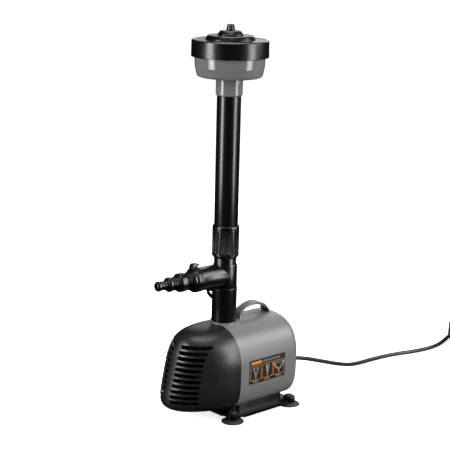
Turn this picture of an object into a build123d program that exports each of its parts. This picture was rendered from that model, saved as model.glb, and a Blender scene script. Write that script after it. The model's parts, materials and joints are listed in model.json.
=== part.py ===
from build123d import *
import math
import os

# Submersible fountain pump: motor casing and slotted strainer on a base with four
# suction cups, and above it a riser with a side outlet, a telescopic pipe and a nozzle head.
# Millimetres, +Z up, +X towards the cord. The origin is on the floor, in the middle of the feet.

# ---- motor casing and strainer cover ----
body_width = 114.0
body_bottom_z = 14.0
body_top_z = 134.0
body_widest_z = 75.0
casing_front_x = -50.0
casing_rear_x = 68.0
casing_rear_radius = 14.0
nose_length = 91.0
nose_lean = 0.25
nose_toe_z = 40.0
shell_wall = 2.6
cover_gap = 0.5
top_roundness = 2.5
bottom_roundness = 4.0
nose_top_roundness = 5.0
nose_bottom_roundness = 6.0

# ---- intake slots of the cover ----
slot_rows = 11
slot_pitch = 7.0
slot_height = 4.4
slot_first_z = 42.0
slot_inner_y = 6.0
slot_outer_y = 40.5
stiffener_y = 23.0
stiffener_width = 2.0
stiffener_depth = 6.0
drain_slots = 9
drain_width = 3.0
drain_pitch = 7.0
drain_length = 22.0
lip_reach = 5.0
lip_wall = 1.8

# ---- carrying handle ----
handle_width = 15.0
handle_front_x = -6.0
handle_rear_x = 53.0
handle_rise = 20.0
handle_strap = 4.2

# ---- base and suction cups ----
foot_pitch_x = 112.0
foot_pitch_y = 96.0
base_bottom_z = 3.5
base_plate = 5.0
base_length = 122.0
base_width = 108.0
base_window_x = 70.0
base_window_y = 56.0
saddle_length = 92.0
saddle_width = 90.0
saddle_top_z = 26.0
boss_radius = 9.2
boss_bottom_z = 5.2
boss_top_z = 12.0
cup_radius = 16.2
cup_lip = 1.5
cup_neck_radius = 4.0
cup_head_radius = 6.4
cup_head_height = 2.8
cup_room = 1.3
screw_radius = 1.75
screw_head_radius = 3.4
screw_head_height = 2.2
screw_length = 14.0
screw_recess = 1.2
screw_pitch_x = 80.0
screw_pitch_y = 70.0
screw_boss_height = 11.0
cup_hollow = 2.6
cup_shoulder_z = 3.4
cup_throat_z = 4.6

# ---- motor and pump chamber, on the rotor axis along X ----
rotor_z = 72.0
motor_front_x = -15.0
motor_gap = 0.3
magnet_radius = 15.0
magnet_front_x = -12.0
magnet_length = 48.0
magnet_gap = 1.5
core_radius = 36.0
core_front_x = -2.0
core_length = 38.0
winding_radius = 33.0
winding_length = 7.0
can_wall = 1.5
shaft_radius = 2.5
shaft_rear_x = 46.0
running_fit = 0.05
bushing_radius = 5.0
bushing_length = 6.0
chamber_radius = 36.0
chamber_wall = 3.0
chamber_half_width = 16.5
chamber_ear_radius = 4.5
chamber_ear_circle = 41.0
ear_web_share = 0.93
chamber_screw_length = 12.0
seal_thickness = 1.5
lid_thickness = 3.0
inlet_radius = 14.0
inlet_wall = 3.0
inlet_length = 12.0
impeller_radius = 28.0
impeller_width = 20.0
impeller_blades = 6
blade_thickness = 2.2
blade_lean = 28.0
impeller_hub_radius = 8.0
impeller_gap = 2.0

# ---- riser: lower tube, tee, union collar, telescopic pipe ----
pipe_x = -34.5
lower_tube_radius = 18.0
lower_tube_bore = 15.0
lower_tube_bottom_z = 112.0
lower_tube_top_z = 186.0
seat_radius = 21.0
seat_top_z = 136.0
seat_depth = 12.0
spigot_depth = 22.0
spigot_wall = 2.5
part_gap = 0.3
tee_radius = 17.6
tee_shoulder_z = 218.0
neck_radius = 16.0
neck_top_z = 240.0
outlet_z = 203.7
outlet_heading = 4.0
outlet_radius = 16.9
outlet_bore = 14.0
outlet_reach = 50.5
outlet_lip_radius = 17.7
outlet_lip_length = 2.2
bulkhead_gap = 2.5
sector_hub_radius = 2.0
collar_radius = 19.3
collar_bottom_z = 230.0
collar_top_z = 277.0
collar_flutes = 24
collar_flute_depth = 0.8
collar_flute_radius = 2.0
collar_chamfer = 3.0
pipe_radius = 17.0
pipe_wall = 2.5
pipe_length = 231.0
inner_tube_top_z = 382.0
inner_tube_wall = 2.4
latch_angle = 138.0
latch_width = 7.0
latch_reach = 9.5
latch_height = 16.0
latch_thickness = 4.0

# ---- stepped hose adapter, distances from the riser axis ----
adapter_flange_radius = 17.8
adapter_flange_length = 6.5
adapter_neck_radius = 15.0
adapter_neck_length = 4.5
hose_step_radii = [13.25, 10.0, 7.1]
hose_step_lengths = [23.0, 17.8, 17.2]
hose_bore_radii = [9.0, 6.5, 4.0]
hose_ridges = 3
ridge_pitch = 3.6
ridge_depth = 1.3
ridge_land = 0.9
step_chamfer = 1.2
valve_sleeve_depth = 30.0
valve_sleeve_wall = 2.6
lever_width = 8.0
lever_rise = 6.5
lever_hook = 2.6
lever_reach = 10.6
lever_foot = 2.0

# ---- nozzle head, heights above the pipe's top ----
sleeve_radius = 18.9
sleeve_grip = 10.3
sleeve_rise = 15.0
bowl_rim_radius = 50.2
bowl_crease_radius = 48.2
bowl_foot_radius = 41.5
bowl_rim_rise = 58.7
bowl_crease_rise = 28.7
bowl_wall = 2.4
bowl_foot_round = 5.0
gussets = 4
gusset_reach = 2.4
gusset_height = 3.0
stem_radius = 12.0
stem_wall = 2.5
stem_rise = 59.7
lift_ring_wall = 3.0
lift_ring_height = 18.0
cap_radius = 53.6
cap_wall = 2.2
cap_flare = 0.4
cap_edge = 1.2
cap_hub_drop = 3.0
cap_skirt_rise = 43.2
cap_rise = 66.5
tier_two_radii = [34.7, 32.3]
tier_two_height = 5.9
tier_three_radii = [18.2, 14.7]
tier_three_height = 6.2
tip_radii = [6.2, 4.9]
tip_height = 8.8
tip_stem_radius = 4.0
tip_bore = 1.6
tip_flutes = 8
tip_flute_radius = 0.9
tip_flute_start = 1.2

# ---- label ----
label_front_x = -34.0
label_length = 70.0
label_bottom_z = 52.5
label_height = 35.0
label_thickness = 0.4

# ---- cord, coil, tie and plug ----
cord_radius = 3.25
gland_z = 47.0
gland_flange_radius = 12.0
gland_flange = 3.0
gland_neck_radius = 6.0
gland_nut_radius = 9.5
gland_nut_length = 8.0
relief_length = 20.0
relief_radii = [7.6, 4.4]
coil_centre = (530.0, -62.0)
coil_radius = 58.5
coil_turns_across = 5
coil_lift = 1.8
coil_tuck = 0.4
coil_entry_angle = 110.0
coil_exit_angle = -90.0
coil_stub = 36.0
tie_width = 9.0
tie_thickness = 1.2
tie_gap = 0.5
tie_angles = [20.0, 200.0]
plug_radius = 18.5
plug_face_length = 18.0
plug_grip_length = 34.0
plug_grip_radii = [13.0, 6.0]
plug_edge = 1.5
plug_lead_lengths = [14.0, 16.0]
relief_rings = 5
relief_groove = 0.9
seal_rim = 7.0
plug_pin_radius = 2.4
plug_pin_length = 19.0
plug_pin_pitch = 19.0
plug_heading = -6.0

coil_depth = coil_turns_across * 2 * cord_radius
coil_mid_z = coil_lift + coil_depth / 2
screw_seat_z = base_bottom_z + screw_recess + screw_head_height
bulkhead_reach = tee_radius + bulkhead_gap
coil_outer_turn = coil_radius + coil_depth / 2 - cord_radius - coil_tuck
relief_end_x = casing_rear_x + gland_flange + gland_nut_length + relief_length
chamber_front_x = pipe_x - chamber_half_width
chamber_back_x = pipe_x + chamber_half_width
lid_back_x = chamber_front_x - seal_thickness
lid_front_x = lid_back_x - lid_thickness
chamber_bore = chamber_radius - chamber_wall
inner_tube_radius = pipe_radius - pipe_wall - running_fit
pipe_bottom_z = neck_top_z + part_gap
pipe_top_z = pipe_bottom_z + pipe_length
sleeve_bottom_z = pipe_top_z - sleeve_grip
sleeve_top_z = pipe_top_z + sleeve_rise
bowl_crease_z = pipe_top_z + bowl_crease_rise
bowl_rim_z = pipe_top_z + bowl_rim_rise
stem_top_z = pipe_top_z + stem_rise
cap_skirt_bottom_z = pipe_top_z + cap_skirt_rise
cap_top_z = pipe_top_z + cap_rise
tier_two_z = cap_top_z + tier_two_height
tier_three_z = tier_two_z + tier_three_height
tip_top_z = tier_three_z + tip_height
tip_stem_bore = tip_stem_radius + running_fit


# ---- helpers ----
def coil_tangent(angle, z, distance):
    """A point on the line that touches the coil at an angle, before it or past it."""
    a = math.radians(angle)
    x = coil_centre[0] + coil_outer_turn * math.cos(a) + distance * math.sin(a)
    y = coil_centre[1] + coil_outer_turn * math.sin(a) - distance * math.cos(a)
    return (x, y, z)


def on_riser(shape):
    """Places a shape, drawn about the Z axis, on the riser's axis."""
    return Pos(pipe_x, 0, 0) * shape


def along_x(radius, x0, x1, z=rotor_z, y=0.0):
    """A round bar along X between two places."""
    bar = Cylinder(radius, x1 - x0, align=(Align.CENTER, Align.CENTER, Align.MIN))
    return Pos(x0, y, z) * Rot(0, 90, 0) * bar


def upright(radius, z0, z1):
    """A round bar up the Z axis between two heights."""
    return Pos(0, 0, z0) * Cylinder(radius, z1 - z0, align=(Align.CENTER, Align.CENTER, Align.MIN))


def tube_x(outer, inner, x0, x1, z=rotor_z):
    """A ring along X."""
    return along_x(outer, x0, x1, z) - along_x(inner, x0 - 1, x1 + 1, z)


def tube_z(outer, inner, z0, z1):
    """A ring up the Z axis."""
    return upright(outer, z0, z1) - upright(inner, z0 - 1, z1 + 1)


def turned(points):
    """Turns a half outline of (radius, height) points about the Z axis."""
    outline = Polyline(*[(r, 0, z) for r, z in points], close=True)
    return revolve(make_face(outline), Axis.Z)


def fraction(height, power):
    """How far a rounded outline still reaches, at a fraction of its height."""
    return max(0.0, 1.0 - abs(height) ** power) ** (1.0 / power)


def body_half_width(z, inset):
    """Half the body's width at a height; the inset shrinks the whole outline."""
    top = body_top_z - body_widest_z - inset
    low = body_widest_z - body_bottom_z - inset
    if z >= body_widest_z:
        return (body_width / 2 - inset) * fraction((z - body_widest_z) / top, top_roundness)
    return (body_width / 2 - inset) * fraction((body_widest_z - z) / low, bottom_roundness)


def nose_reach(z, inset):
    """How far the nose stands in front of the casing at a height."""
    top = body_top_z - body_widest_z - inset
    low = body_widest_z - body_bottom_z - inset
    leaning = nose_length - nose_lean * (z - nose_toe_z) - inset
    if z >= body_widest_z:
        return leaning * fraction((z - body_widest_z) / top, nose_top_roundness)
    return leaning * fraction((body_widest_z - z) / low, nose_bottom_roundness)


def section_heights(inset, steps):
    """Heights up the body, closer together where it rounds over, top and bottom."""
    top = body_top_z - body_widest_z - inset
    low = body_widest_z - body_bottom_z - inset
    span = 0.5 * math.pi * 0.93
    turns = [span * step / steps for step in range(-steps, steps + 1)]
    return [body_widest_z + (top if a > 0 else low) * math.sin(a) for a in turns]


def casing_block(front_x, rear_x, inset):
    """The casing's outer shape, shrunk by an inset, from front to rear."""
    heights = section_heights(inset, 7)
    right = [(body_half_width(z, inset), z) for z in heights]
    left = [(-y, z) for y, z in reversed(right)]
    upper = ThreePointArc(right[-1], (0, body_top_z - inset), left[0])
    lower = Line(left[-1], right[0])
    outline = Spline(*right) + upper + Spline(*left) + lower
    face = Plane(origin=(front_x, 0, 0), x_dir=(0, 1, 0), z_dir=(1, 0, 0)) * make_face(outline)
    block = extrude(face, rear_x - front_x, dir=(1, 0, 0))
    rear_edges = block.faces().sort_by(Axis.X)[-1].edges()
    return fillet(rear_edges, casing_rear_radius - inset)


def nose_block(inset):
    """The strainer cover's outer shape, shrunk by an inset, back to the casing's front."""
    slices = Sketch()
    for z in section_heights(inset, 7):
        half = body_half_width(z, inset)
        reach = nose_reach(z, inset)
        level = Plane.XY.offset(z) * Pos(casing_front_x, 0)
        slices += level * (Ellipse(reach, half) & Pos(-reach, 0) * Rectangle(2 * reach, 3 * half))
    return loft(slices)


def sector_pair(radius, x0, x1, first_angle):
    """Two opposite quarter discs, lying across the X axis, with a hub left between them."""
    quarter = Box(radius, radius, x1 - x0, align=(Align.MIN, Align.MIN, Align.MIN))
    pair = Rot(0, 0, first_angle) * quarter + Rot(0, 0, first_angle + 180) * quarter
    pair = (pair & upright(radius, 0, x1 - x0)) - upright(sector_hub_radius, -1, x1 - x0 + 1)
    return Pos(x0, 0, 0) * Rot(0, 90, 0) * pair


def corners(pitch_x, pitch_y):
    """The four corners of a rectangle about the origin."""
    return [(sx * pitch_x / 2, sy * pitch_y / 2) for sx in (-1, 1) for sy in (-1, 1)]


def chamber_corners():
    """Y and Z of the four screws round the pump chamber."""
    angles = [math.radians(a) for a in (45, 135, 225, 315)]
    return [(chamber_ear_circle * math.cos(a), rotor_z + chamber_ear_circle * math.sin(a)) for a in angles]


def from_outlet(shape):
    """Places a shape, drawn along -X from the Z axis, along the side outlet."""
    return Pos(pipe_x, 0, outlet_z) * Rot(0, 0, -outlet_heading) * shape


def outlet_bar(radius, s0, s1):
    """A round bar along the side outlet, between two distances from the riser's axis."""
    return along_x(radius, -s1, -s0, 0)


def turned_outlet(points):
    """Turns a half outline of (distance, radius) points about the side outlet's axis."""
    outline = Polyline(*[(-s, 0, r) for s, r in points], close=True)
    return revolve(make_face(outline), Axis.X)


# ---- casing ----
def handle():
    """A strap bent into a low arch, drawn in the XZ plane and given its width."""
    top = body_top_z + handle_rise
    foot = body_top_z - 2 * handle_strap
    length = handle_rear_x - handle_front_x
    t = handle_strap

    def arch(inset):
        return Spline(
            (handle_front_x - t / 2 + inset, 0, foot),
            (handle_front_x - t / 2 + inset, 0, top - 0.55 * handle_rise),
            (handle_front_x + 0.38 * length, 0, top - inset),
            (handle_front_x + 0.78 * length, 0, top - 0.27 * handle_rise - inset),
            (handle_rear_x + t / 2 - inset, 0, foot + 0.2 * handle_rise),
            (handle_rear_x + t / 2 - inset, 0, foot),
        )

    outer = arch(0)
    inner = arch(t)
    front = Line(outer @ 0, inner @ 0)
    rear = Line(inner @ 1, outer @ 1)
    strap = extrude(make_face(outer + front + inner + rear), handle_width / 2, dir=(0, 1, 0), both=True)
    rims = strap.edges().filter_by(lambda e: e.length > handle_width * 1.5)
    return fillet(rims, 0.3 * handle_strap)


def screw_bosses(extra):
    """Posts inside the casing for the base screws; extra makes them larger all round."""
    bosses = Part()
    top_z = body_bottom_z + screw_boss_height + extra
    for x, y in corners(screw_pitch_x, screw_pitch_y):
        bosses += Pos(x, y) * upright(screw_radius + shell_wall + extra, body_bottom_z, top_z)
    return bosses


def base_screw_shanks():
    """The threaded parts of the four base screws."""
    shanks = Part()
    for x, y in corners(screw_pitch_x, screw_pitch_y):
        shanks += Pos(x, y) * upright(screw_radius, screw_seat_z, screw_seat_z + screw_length)
    return shanks


def motor_casing():
    """The grey shell, with the riser's seat, the handle and the holes for screws and cord."""
    outer = casing_block(casing_front_x, casing_rear_x, 0)
    hollow = casing_block(casing_front_x - 1, casing_rear_x - shell_wall, shell_wall)
    shell = outer - hollow
    shell += screw_bosses(0) & casing_block(casing_front_x, casing_rear_x, 0.5 * shell_wall)
    shell += on_riser(upright(seat_radius, seat_top_z - seat_depth, seat_top_z))
    shell += handle() - hollow
    shell -= on_riser(upright(lower_tube_radius + part_gap, seat_top_z - seat_depth - 1, seat_top_z + 1))
    shell -= base_screw_shanks()
    return shell - along_x(gland_neck_radius, casing_rear_x - 2 * shell_wall, casing_rear_x + 1, gland_z)


def motor_block():
    """The potted block that fills the casing round the stator."""
    inset = shell_wall + motor_gap
    block = casing_block(motor_front_x, casing_rear_x - inset, inset)
    bore_rear_x = magnet_front_x + magnet_length + magnet_gap + 1
    block -= along_x(magnet_radius + magnet_gap, motor_front_x - 1, bore_rear_x)
    block -= along_x(bushing_radius, bore_rear_x - 1, shaft_rear_x)
    block -= stator_core() + windings()
    block -= on_riser(upright(seat_radius + motor_gap, seat_top_z - seat_depth - motor_gap, seat_top_z))
    return block - screw_bosses(motor_gap)


def stator_core():
    """The stack of steel laminations round the rotor's bore."""
    return tube_x(core_radius, magnet_radius + magnet_gap + can_wall, core_front_x, core_front_x + core_length)


def windings():
    """The copper end turns before and behind the laminations."""
    inner = magnet_radius + magnet_gap + can_wall
    core_rear_x = core_front_x + core_length
    return tube_x(winding_radius, inner, core_front_x - winding_length, core_front_x) + tube_x(
        winding_radius, inner, core_rear_x, core_rear_x + winding_length
    )


# ---- pump chamber and rotor ----
def ear_web(front_x, length, y, z):
    """Joins a screw's ear to the round wall of the chamber or its lid."""
    web = Box(length, chamber_ear_radius, chamber_ear_radius)
    return Pos(front_x + length / 2, ear_web_share * y, rotor_z + ear_web_share * (z - rotor_z)) * web


def pump_chamber():
    """The round chamber, with its spigot up into the lower tube."""
    body = along_x(chamber_radius, chamber_front_x, chamber_back_x)
    for y, z in chamber_corners():
        body += along_x(chamber_ear_radius, chamber_front_x, chamber_front_x + chamber_screw_length, z, y)
        body += ear_web(chamber_front_x, chamber_screw_length, y, z)
    spigot_radius = lower_tube_bore - part_gap / 2
    body += on_riser(upright(spigot_radius, rotor_z, lower_tube_bottom_z + spigot_depth))
    body -= on_riser(upright(spigot_radius - spigot_wall, rotor_z, lower_tube_bottom_z + spigot_depth + 1))
    body -= along_x(chamber_bore, chamber_front_x - 1, chamber_back_x - chamber_wall)
    body -= along_x(magnet_radius + magnet_gap + 1, chamber_front_x, chamber_back_x + 1)
    return body - chamber_screw_shanks()


def chamber_screw_shanks():
    shanks = Part()
    for y, z in chamber_corners():
        shanks += along_x(screw_radius, lid_front_x, lid_front_x + chamber_screw_length, z, y)
    return shanks


def chamber_screws():
    screws = chamber_screw_shanks()
    for y, z in chamber_corners():
        screws += along_x(screw_head_radius, lid_front_x - screw_head_height, lid_front_x, z, y)
    return screws


def chamber_seal():
    return tube_x(chamber_radius - 0.4, chamber_bore + 0.3, lid_back_x, chamber_front_x)


def motor_seal():
    """The ring between the pump chamber and the motor block."""
    return tube_x(magnet_radius + seal_rim, magnet_radius + magnet_gap + 1.5, chamber_back_x, motor_front_x)


def chamber_lid():
    """The chamber's front, with the inlet and the spokes that hold the front bushing."""
    lid = along_x(chamber_radius, lid_front_x, lid_back_x)
    for y, z in chamber_corners():
        lid += along_x(chamber_ear_radius, lid_front_x, lid_back_x, z, y)
        lid += ear_web(lid_front_x, lid_thickness, y, z)
    lid += along_x(inlet_radius + inlet_wall, lid_front_x - inlet_length, lid_front_x)
    lid -= along_x(inlet_radius, lid_front_x - inlet_length - 1, lid_back_x + 1)
    hub_front_x = lid_front_x - inlet_wall
    hub_back_x = lid_front_x + bushing_length
    spoke_width = 0.5 * bushing_radius
    for turn in range(3):
        spoke = Box(
            lid_back_x - hub_front_x, spoke_width, inlet_radius + 1, align=(Align.MIN, Align.CENTER, Align.MIN)
        )
        lid += Pos(hub_front_x, 0, rotor_z) * Rot(120 * turn, 0, 0) * spoke
    lid += along_x(bushing_radius + spoke_width, hub_front_x, hub_back_x)
    lid -= along_x(bushing_radius, lid_front_x, hub_back_x + 1)
    return lid - chamber_screw_shanks()


def bushing(x0):
    return tube_x(bushing_radius, shaft_radius, x0, x0 + bushing_length)


def thrust_washers():
    rear_x = shaft_rear_x - bushing_length
    front_x = lid_front_x + bushing_length
    radius = bushing_radius - 0.3
    return tube_x(radius, shaft_radius + running_fit, rear_x - 1, rear_x) + tube_x(
        radius, shaft_radius + running_fit, front_x, front_x + 1
    )


def impeller():
    back_x = chamber_back_x - chamber_wall - 2 * impeller_gap
    front_x = back_x - impeller_width
    wheel = along_x(impeller_radius, back_x - blade_thickness, back_x)
    wheel += along_x(impeller_hub_radius, front_x, magnet_front_x)
    blade_length = impeller_radius - impeller_hub_radius
    for turn in range(impeller_blades):
        blade = Box(impeller_width, blade_thickness, blade_length + 4, align=(Align.MIN, Align.CENTER, Align.MIN))
        blade = Pos(0, 0, impeller_hub_radius - 2) * Rot(blade_lean, 0, 0) * blade
        wheel += Pos(front_x, 0, rotor_z) * Rot(360 / impeller_blades * turn, 0, 0) * blade
    wheel &= along_x(impeller_radius, front_x - 1, magnet_front_x + 1)
    wheel += along_x(bushing_radius, magnet_front_x, magnet_front_x + magnet_length)
    return wheel - along_x(shaft_radius + running_fit, front_x - 1, magnet_front_x + magnet_length + 1)


# ---- strainer cover ----
def slot_cut(z, side):
    """One intake slot, cut back into the nose along X."""
    length = slot_outer_y - slot_inner_y
    slot = Pos(0, side * (slot_inner_y + length / 2)) * SlotOverall(length, slot_height)
    face = Plane(origin=(casing_front_x - nose_length - 5, 0, z), x_dir=(0, 1, 0), z_dir=(1, 0, 0)) * slot
    return extrude(face, nose_length, dir=(1, 0, 0))


def strainer_cover():
    """The slotted nose, with its stays inside, its drain slots and the lip into the casing."""
    cover = nose_block(0) - nose_block(shell_wall)
    ribs = nose_block(shell_wall) - nose_block(shell_wall + stiffener_depth)
    for side in (-1, 1):
        slab = Box(nose_length, stiffener_width, body_top_z, align=(Align.MAX, Align.CENTER, Align.MIN))
        cover += ribs & Pos(casing_front_x - 0.3 * nose_length, side * stiffener_y) * slab
    for row in range(slot_rows):
        for side in (-1, 1):
            cover -= slot_cut(slot_first_z + row * slot_pitch, side)
    toe_x = casing_front_x - nose_length
    for place in range(drain_slots):
        y = (place - (drain_slots - 1) / 2) * drain_pitch
        bow = nose_length * (1 - math.sqrt(1 - (2 * y / body_width) ** 2))
        cut = Box(drain_length, drain_width, 4 * shell_wall, align=(Align.MIN, Align.CENTER, Align.CENTER))
        cover -= Pos(toe_x + bow + 0.3 * drain_length, y, body_bottom_z) * cut
    inset = shell_wall + part_gap
    back_x = casing_front_x + lip_reach
    lip = casing_block(casing_front_x - shell_wall, back_x + casing_rear_radius, inset)
    lip -= casing_block(casing_front_x - 2 * shell_wall, back_x + 2 * casing_rear_radius, inset + lip_wall)
    lip &= Pos(back_x, 0, 0) * Box(lip_reach + shell_wall, 400, 400, align=(Align.MAX, Align.CENTER, Align.CENTER))
    cover += lip
    cover -= seam_band()
    return cover - on_riser(upright(seat_radius + cover_gap, body_widest_z + 20, seat_top_z + 5))


def seam_band():
    """The seam between cover and casing: a thin gap through the outer wall only."""
    band = Pos(casing_front_x, 0, 0) * Box(part_gap, 400, 400, align=(Align.MAX, Align.CENTER, Align.CENTER))
    return band - casing_block(casing_front_x - 20, casing_rear_x, shell_wall + part_gap)


# ---- base and feet ----
def base_plate_solid():
    outline = RectangleRounded(base_length, base_width, 10) - RectangleRounded(base_window_x, base_window_y, 6)
    base = extrude(Plane.XY.offset(base_bottom_z) * outline, base_plate)
    ring = RectangleRounded(saddle_length, saddle_width, 8) - RectangleRounded(base_window_x, base_window_y, 6)
    base += extrude(Plane.XY.offset(base_bottom_z) * ring, saddle_top_z - base_bottom_z)
    base -= casing_block(casing_front_x - 5, casing_rear_x + 5, -part_gap / 2)
    for x, y in corners(foot_pitch_x, foot_pitch_y):
        base += Pos(x, y) * upright(boss_radius, boss_bottom_z, boss_top_z)
        base -= Pos(x, y) * upright(cup_radius + cup_room, base_bottom_z - 1, boss_bottom_z)
        base -= Pos(x, y) * upright(cup_neck_radius + part_gap / 2, base_bottom_z - 1, boss_top_z + 1)
    for x, y in corners(screw_pitch_x, screw_pitch_y):
        base -= Pos(x, y) * upright(screw_head_radius + part_gap, base_bottom_z - 1, screw_seat_z)
        base -= Pos(x, y) * upright(screw_radius + part_gap / 2, base_bottom_z - 1, saddle_top_z + 1)
    return base


def suction_cup(x, y):
    """One rubber cup, with a neck through its boss and a head above it."""
    head_z = boss_top_z + part_gap / 2
    cup = turned([
        (0, cup_hollow), (0.5 * cup_radius, 0.73 * cup_hollow), (cup_radius - cup_lip, 0), (cup_radius, 0),
        (cup_radius, 0.67 * cup_lip), (0.62 * cup_radius, cup_shoulder_z), (1.5 * cup_neck_radius, cup_throat_z),
        (cup_neck_radius, boss_bottom_z - part_gap), (cup_neck_radius, head_z),
        (cup_head_radius, head_z), (cup_head_radius, head_z + 0.5 * cup_head_height),
        (0.75 * cup_head_radius, head_z + cup_head_height), (0, head_z + cup_head_height),
    ])
    return Pos(x, y) * cup


def base_screws():
    screws = base_screw_shanks()
    for x, y in corners(screw_pitch_x, screw_pitch_y):
        screws += Pos(x, y) * upright(screw_head_radius, screw_seat_z - screw_head_height, screw_seat_z)
    return screws


# ---- riser ----
def lower_tube():
    return on_riser(tube_z(lower_tube_radius, lower_tube_bore, lower_tube_bottom_z, lower_tube_top_z))


def latch():
    """A small hooked tab beside the top of the lower tube."""
    reach = lower_tube_radius - 1
    top_z = lower_tube_top_z - 3
    t = latch_thickness
    hook = Polyline(
        (reach, 0, top_z), (reach + latch_reach, 0, top_z - 0.25 * t),
        (reach + latch_reach - 0.4 * t, 0, top_z - 0.5 * latch_height), (reach + t, 0, top_z - 0.81 * latch_height),
        (reach, 0, top_z - latch_height), (reach, 0, top_z - latch_height + 1.25 * t),
        (reach + latch_reach - 1.25 * t, 0, top_z - 1.5 * t), (reach + latch_reach - t, 0, top_z - t),
        (reach, 0, top_z - t),
        close=True,
    )
    tab = extrude(make_face(hook), latch_width / 2, dir=(0, 1, 0), both=True)
    return on_riser(Rot(0, 0, latch_angle) * tab) - on_riser(upright(lower_tube_radius, 0, lower_tube_top_z))


def tee():
    foot_z = lower_tube_top_z + part_gap
    outer = turned([
        (0, foot_z - spigot_depth), (lower_tube_bore - running_fit, foot_z - spigot_depth),
        (lower_tube_bore - running_fit, foot_z), (tee_radius, foot_z), (tee_radius, tee_shoulder_z),
        (neck_radius, tee_shoulder_z + 3), (neck_radius, neck_top_z), (inner_tube_radius, neck_top_z),
        (inner_tube_radius, inner_tube_top_z), (0, inner_tube_top_z),
    ])
    body = on_riser(outer) + from_outlet(outlet_bar(outlet_radius, 0, outlet_reach))
    body += from_outlet(outlet_bar(outlet_lip_radius, outlet_reach - outlet_lip_length, outlet_reach))
    bore = inner_tube_radius - inner_tube_wall
    body -= on_riser(upright(bore, foot_z - spigot_depth - 1, inner_tube_top_z + 1))
    body -= from_outlet(outlet_bar(outlet_bore, bulkhead_reach, outlet_reach + 1))
    openings = sector_pair(outlet_bore - 2, -bulkhead_reach - 1, -0.5 * bore, 0)
    return body - from_outlet(openings)


def hose_adapter():
    """The valve sleeve inside the outlet, the flange outside it, then three barbed steps."""
    flange_s = outlet_reach + part_gap
    s = flange_s + adapter_flange_length
    outer = [
        (flange_s, 0), (flange_s, adapter_flange_radius), (s, adapter_flange_radius), (s, adapter_neck_radius),
        (s + adapter_neck_length, adapter_neck_radius),
    ]
    s += adapter_neck_length
    for radius, length in zip(hose_step_radii, hose_step_lengths):
        for ridge in range(hose_ridges):
            start = s + ridge * ridge_pitch
            outer += [(start, radius - ridge_depth), (start, radius), (start + ridge_land, radius)]
        smooth = s + hose_ridges * ridge_pitch
        outer += [(smooth, radius - ridge_depth), (smooth + step_chamfer, radius - 0.4 * ridge_depth)]
        s += length
        outer += [(s - step_chamfer, radius - 1.6 * ridge_depth), (s, radius - 2.2 * ridge_depth)]
    outer += [(s, 0)]
    body = turned_outlet(outer)
    body += outlet_bar(outlet_bore - running_fit, bulkhead_reach + part_gap, flange_s + 1)
    s = flange_s + adapter_flange_length + adapter_neck_length
    body -= outlet_bar(outlet_bore - valve_sleeve_wall, bulkhead_reach + part_gap + 2.2, flange_s)
    for radius, length in zip(hose_bore_radii, hose_step_lengths):
        s += length
        body -= outlet_bar(radius, flange_s - 1, s + 1 if radius == hose_bore_radii[-1] else s - 2.4)
    body -= sector_pair(outlet_bore - 2, -bulkhead_reach - part_gap - 3, -bulkhead_reach, 0)
    return from_outlet(body)


def valve_lever():
    """A hooked finger tab on the adapter's flange."""
    s = outlet_reach + part_gap
    r = adapter_flange_radius - 0.4
    rise = lever_rise
    hook = Polyline(
        (-s - 0.5, 0, r), (-s - 1.5, 0, r + 0.3 * rise), (-s - 0.2, 0, r + 0.55 * rise),
        (-s + 0.85 * lever_hook, 0, r + 0.62 * rise), (-s + lever_hook, 0, r + 0.85 * rise), (-s + 0.5, 0, r + rise),
        (-s - 0.68 * lever_reach, 0, r + rise), (-s - 0.92 * lever_reach, 0, r + 0.6 * rise),
        (-s - lever_reach, 0, r - 0.6 * lever_foot), (-s - adapter_flange_length, 0, r - lever_foot), close=True,
    )
    tab = extrude(make_face(hook), lever_width / 2, dir=(0, 1, 0), both=True)
    flange = outlet_bar(adapter_flange_radius, s, s + adapter_flange_length)
    return from_outlet(tab - flange - outlet_bar(adapter_neck_radius, s, s + 30))


def union_collar():
    """The fluted ring that joins the tee's neck to the telescopic pipe."""
    r = collar_radius
    c = collar_chamfer
    body = turned([
        (0, collar_bottom_z), (r - 0.73 * c, collar_bottom_z), (r, collar_bottom_z + c), (r, collar_top_z - 0.83 * c),
        (r - 0.3 * c, collar_top_z - 0.23 * c), (r - 0.63 * c, collar_top_z), (0, collar_top_z),
    ])
    for flute in range(collar_flutes):
        out = r + collar_flute_radius - collar_flute_depth
        groove = upright(collar_flute_radius, collar_bottom_z + 2 * c, collar_top_z - 1.67 * c)
        body -= Rot(0, 0, 360 / collar_flutes * flute) * Pos(out, 0) * groove
    body -= upright(neck_radius + running_fit, collar_bottom_z - 1, neck_top_z)
    body -= upright(pipe_radius + running_fit, neck_top_z, collar_top_z + 1)
    return on_riser(body)


def telescopic_pipe():
    return on_riser(tube_z(pipe_radius, pipe_radius - pipe_wall, pipe_bottom_z, pipe_top_z))


# ---- nozzle head ----
def head_sleeve():
    """The socket on the pipe's top, with small gussets under the bowl."""
    body = turned([
        (0, sleeve_bottom_z), (sleeve_radius - 1, sleeve_bottom_z), (sleeve_radius, sleeve_bottom_z + 1.5),
        (sleeve_radius, sleeve_top_z), (0, sleeve_top_z),
    ])
    body -= upright(pipe_radius + running_fit, sleeve_bottom_z - 1, pipe_top_z + part_gap)
    body -= upright(stem_radius, pipe_top_z, sleeve_top_z + 1)
    for turn in range(gussets):
        lug = Box(gusset_reach + 1, 2, gusset_height, align=(Align.MIN, Align.CENTER, Align.MAX))
        body += Rot(0, 0, 20 + 360 / gussets * turn) * Pos(sleeve_radius - 1, 0, sleeve_top_z) * lug
    return on_riser(body)


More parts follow.
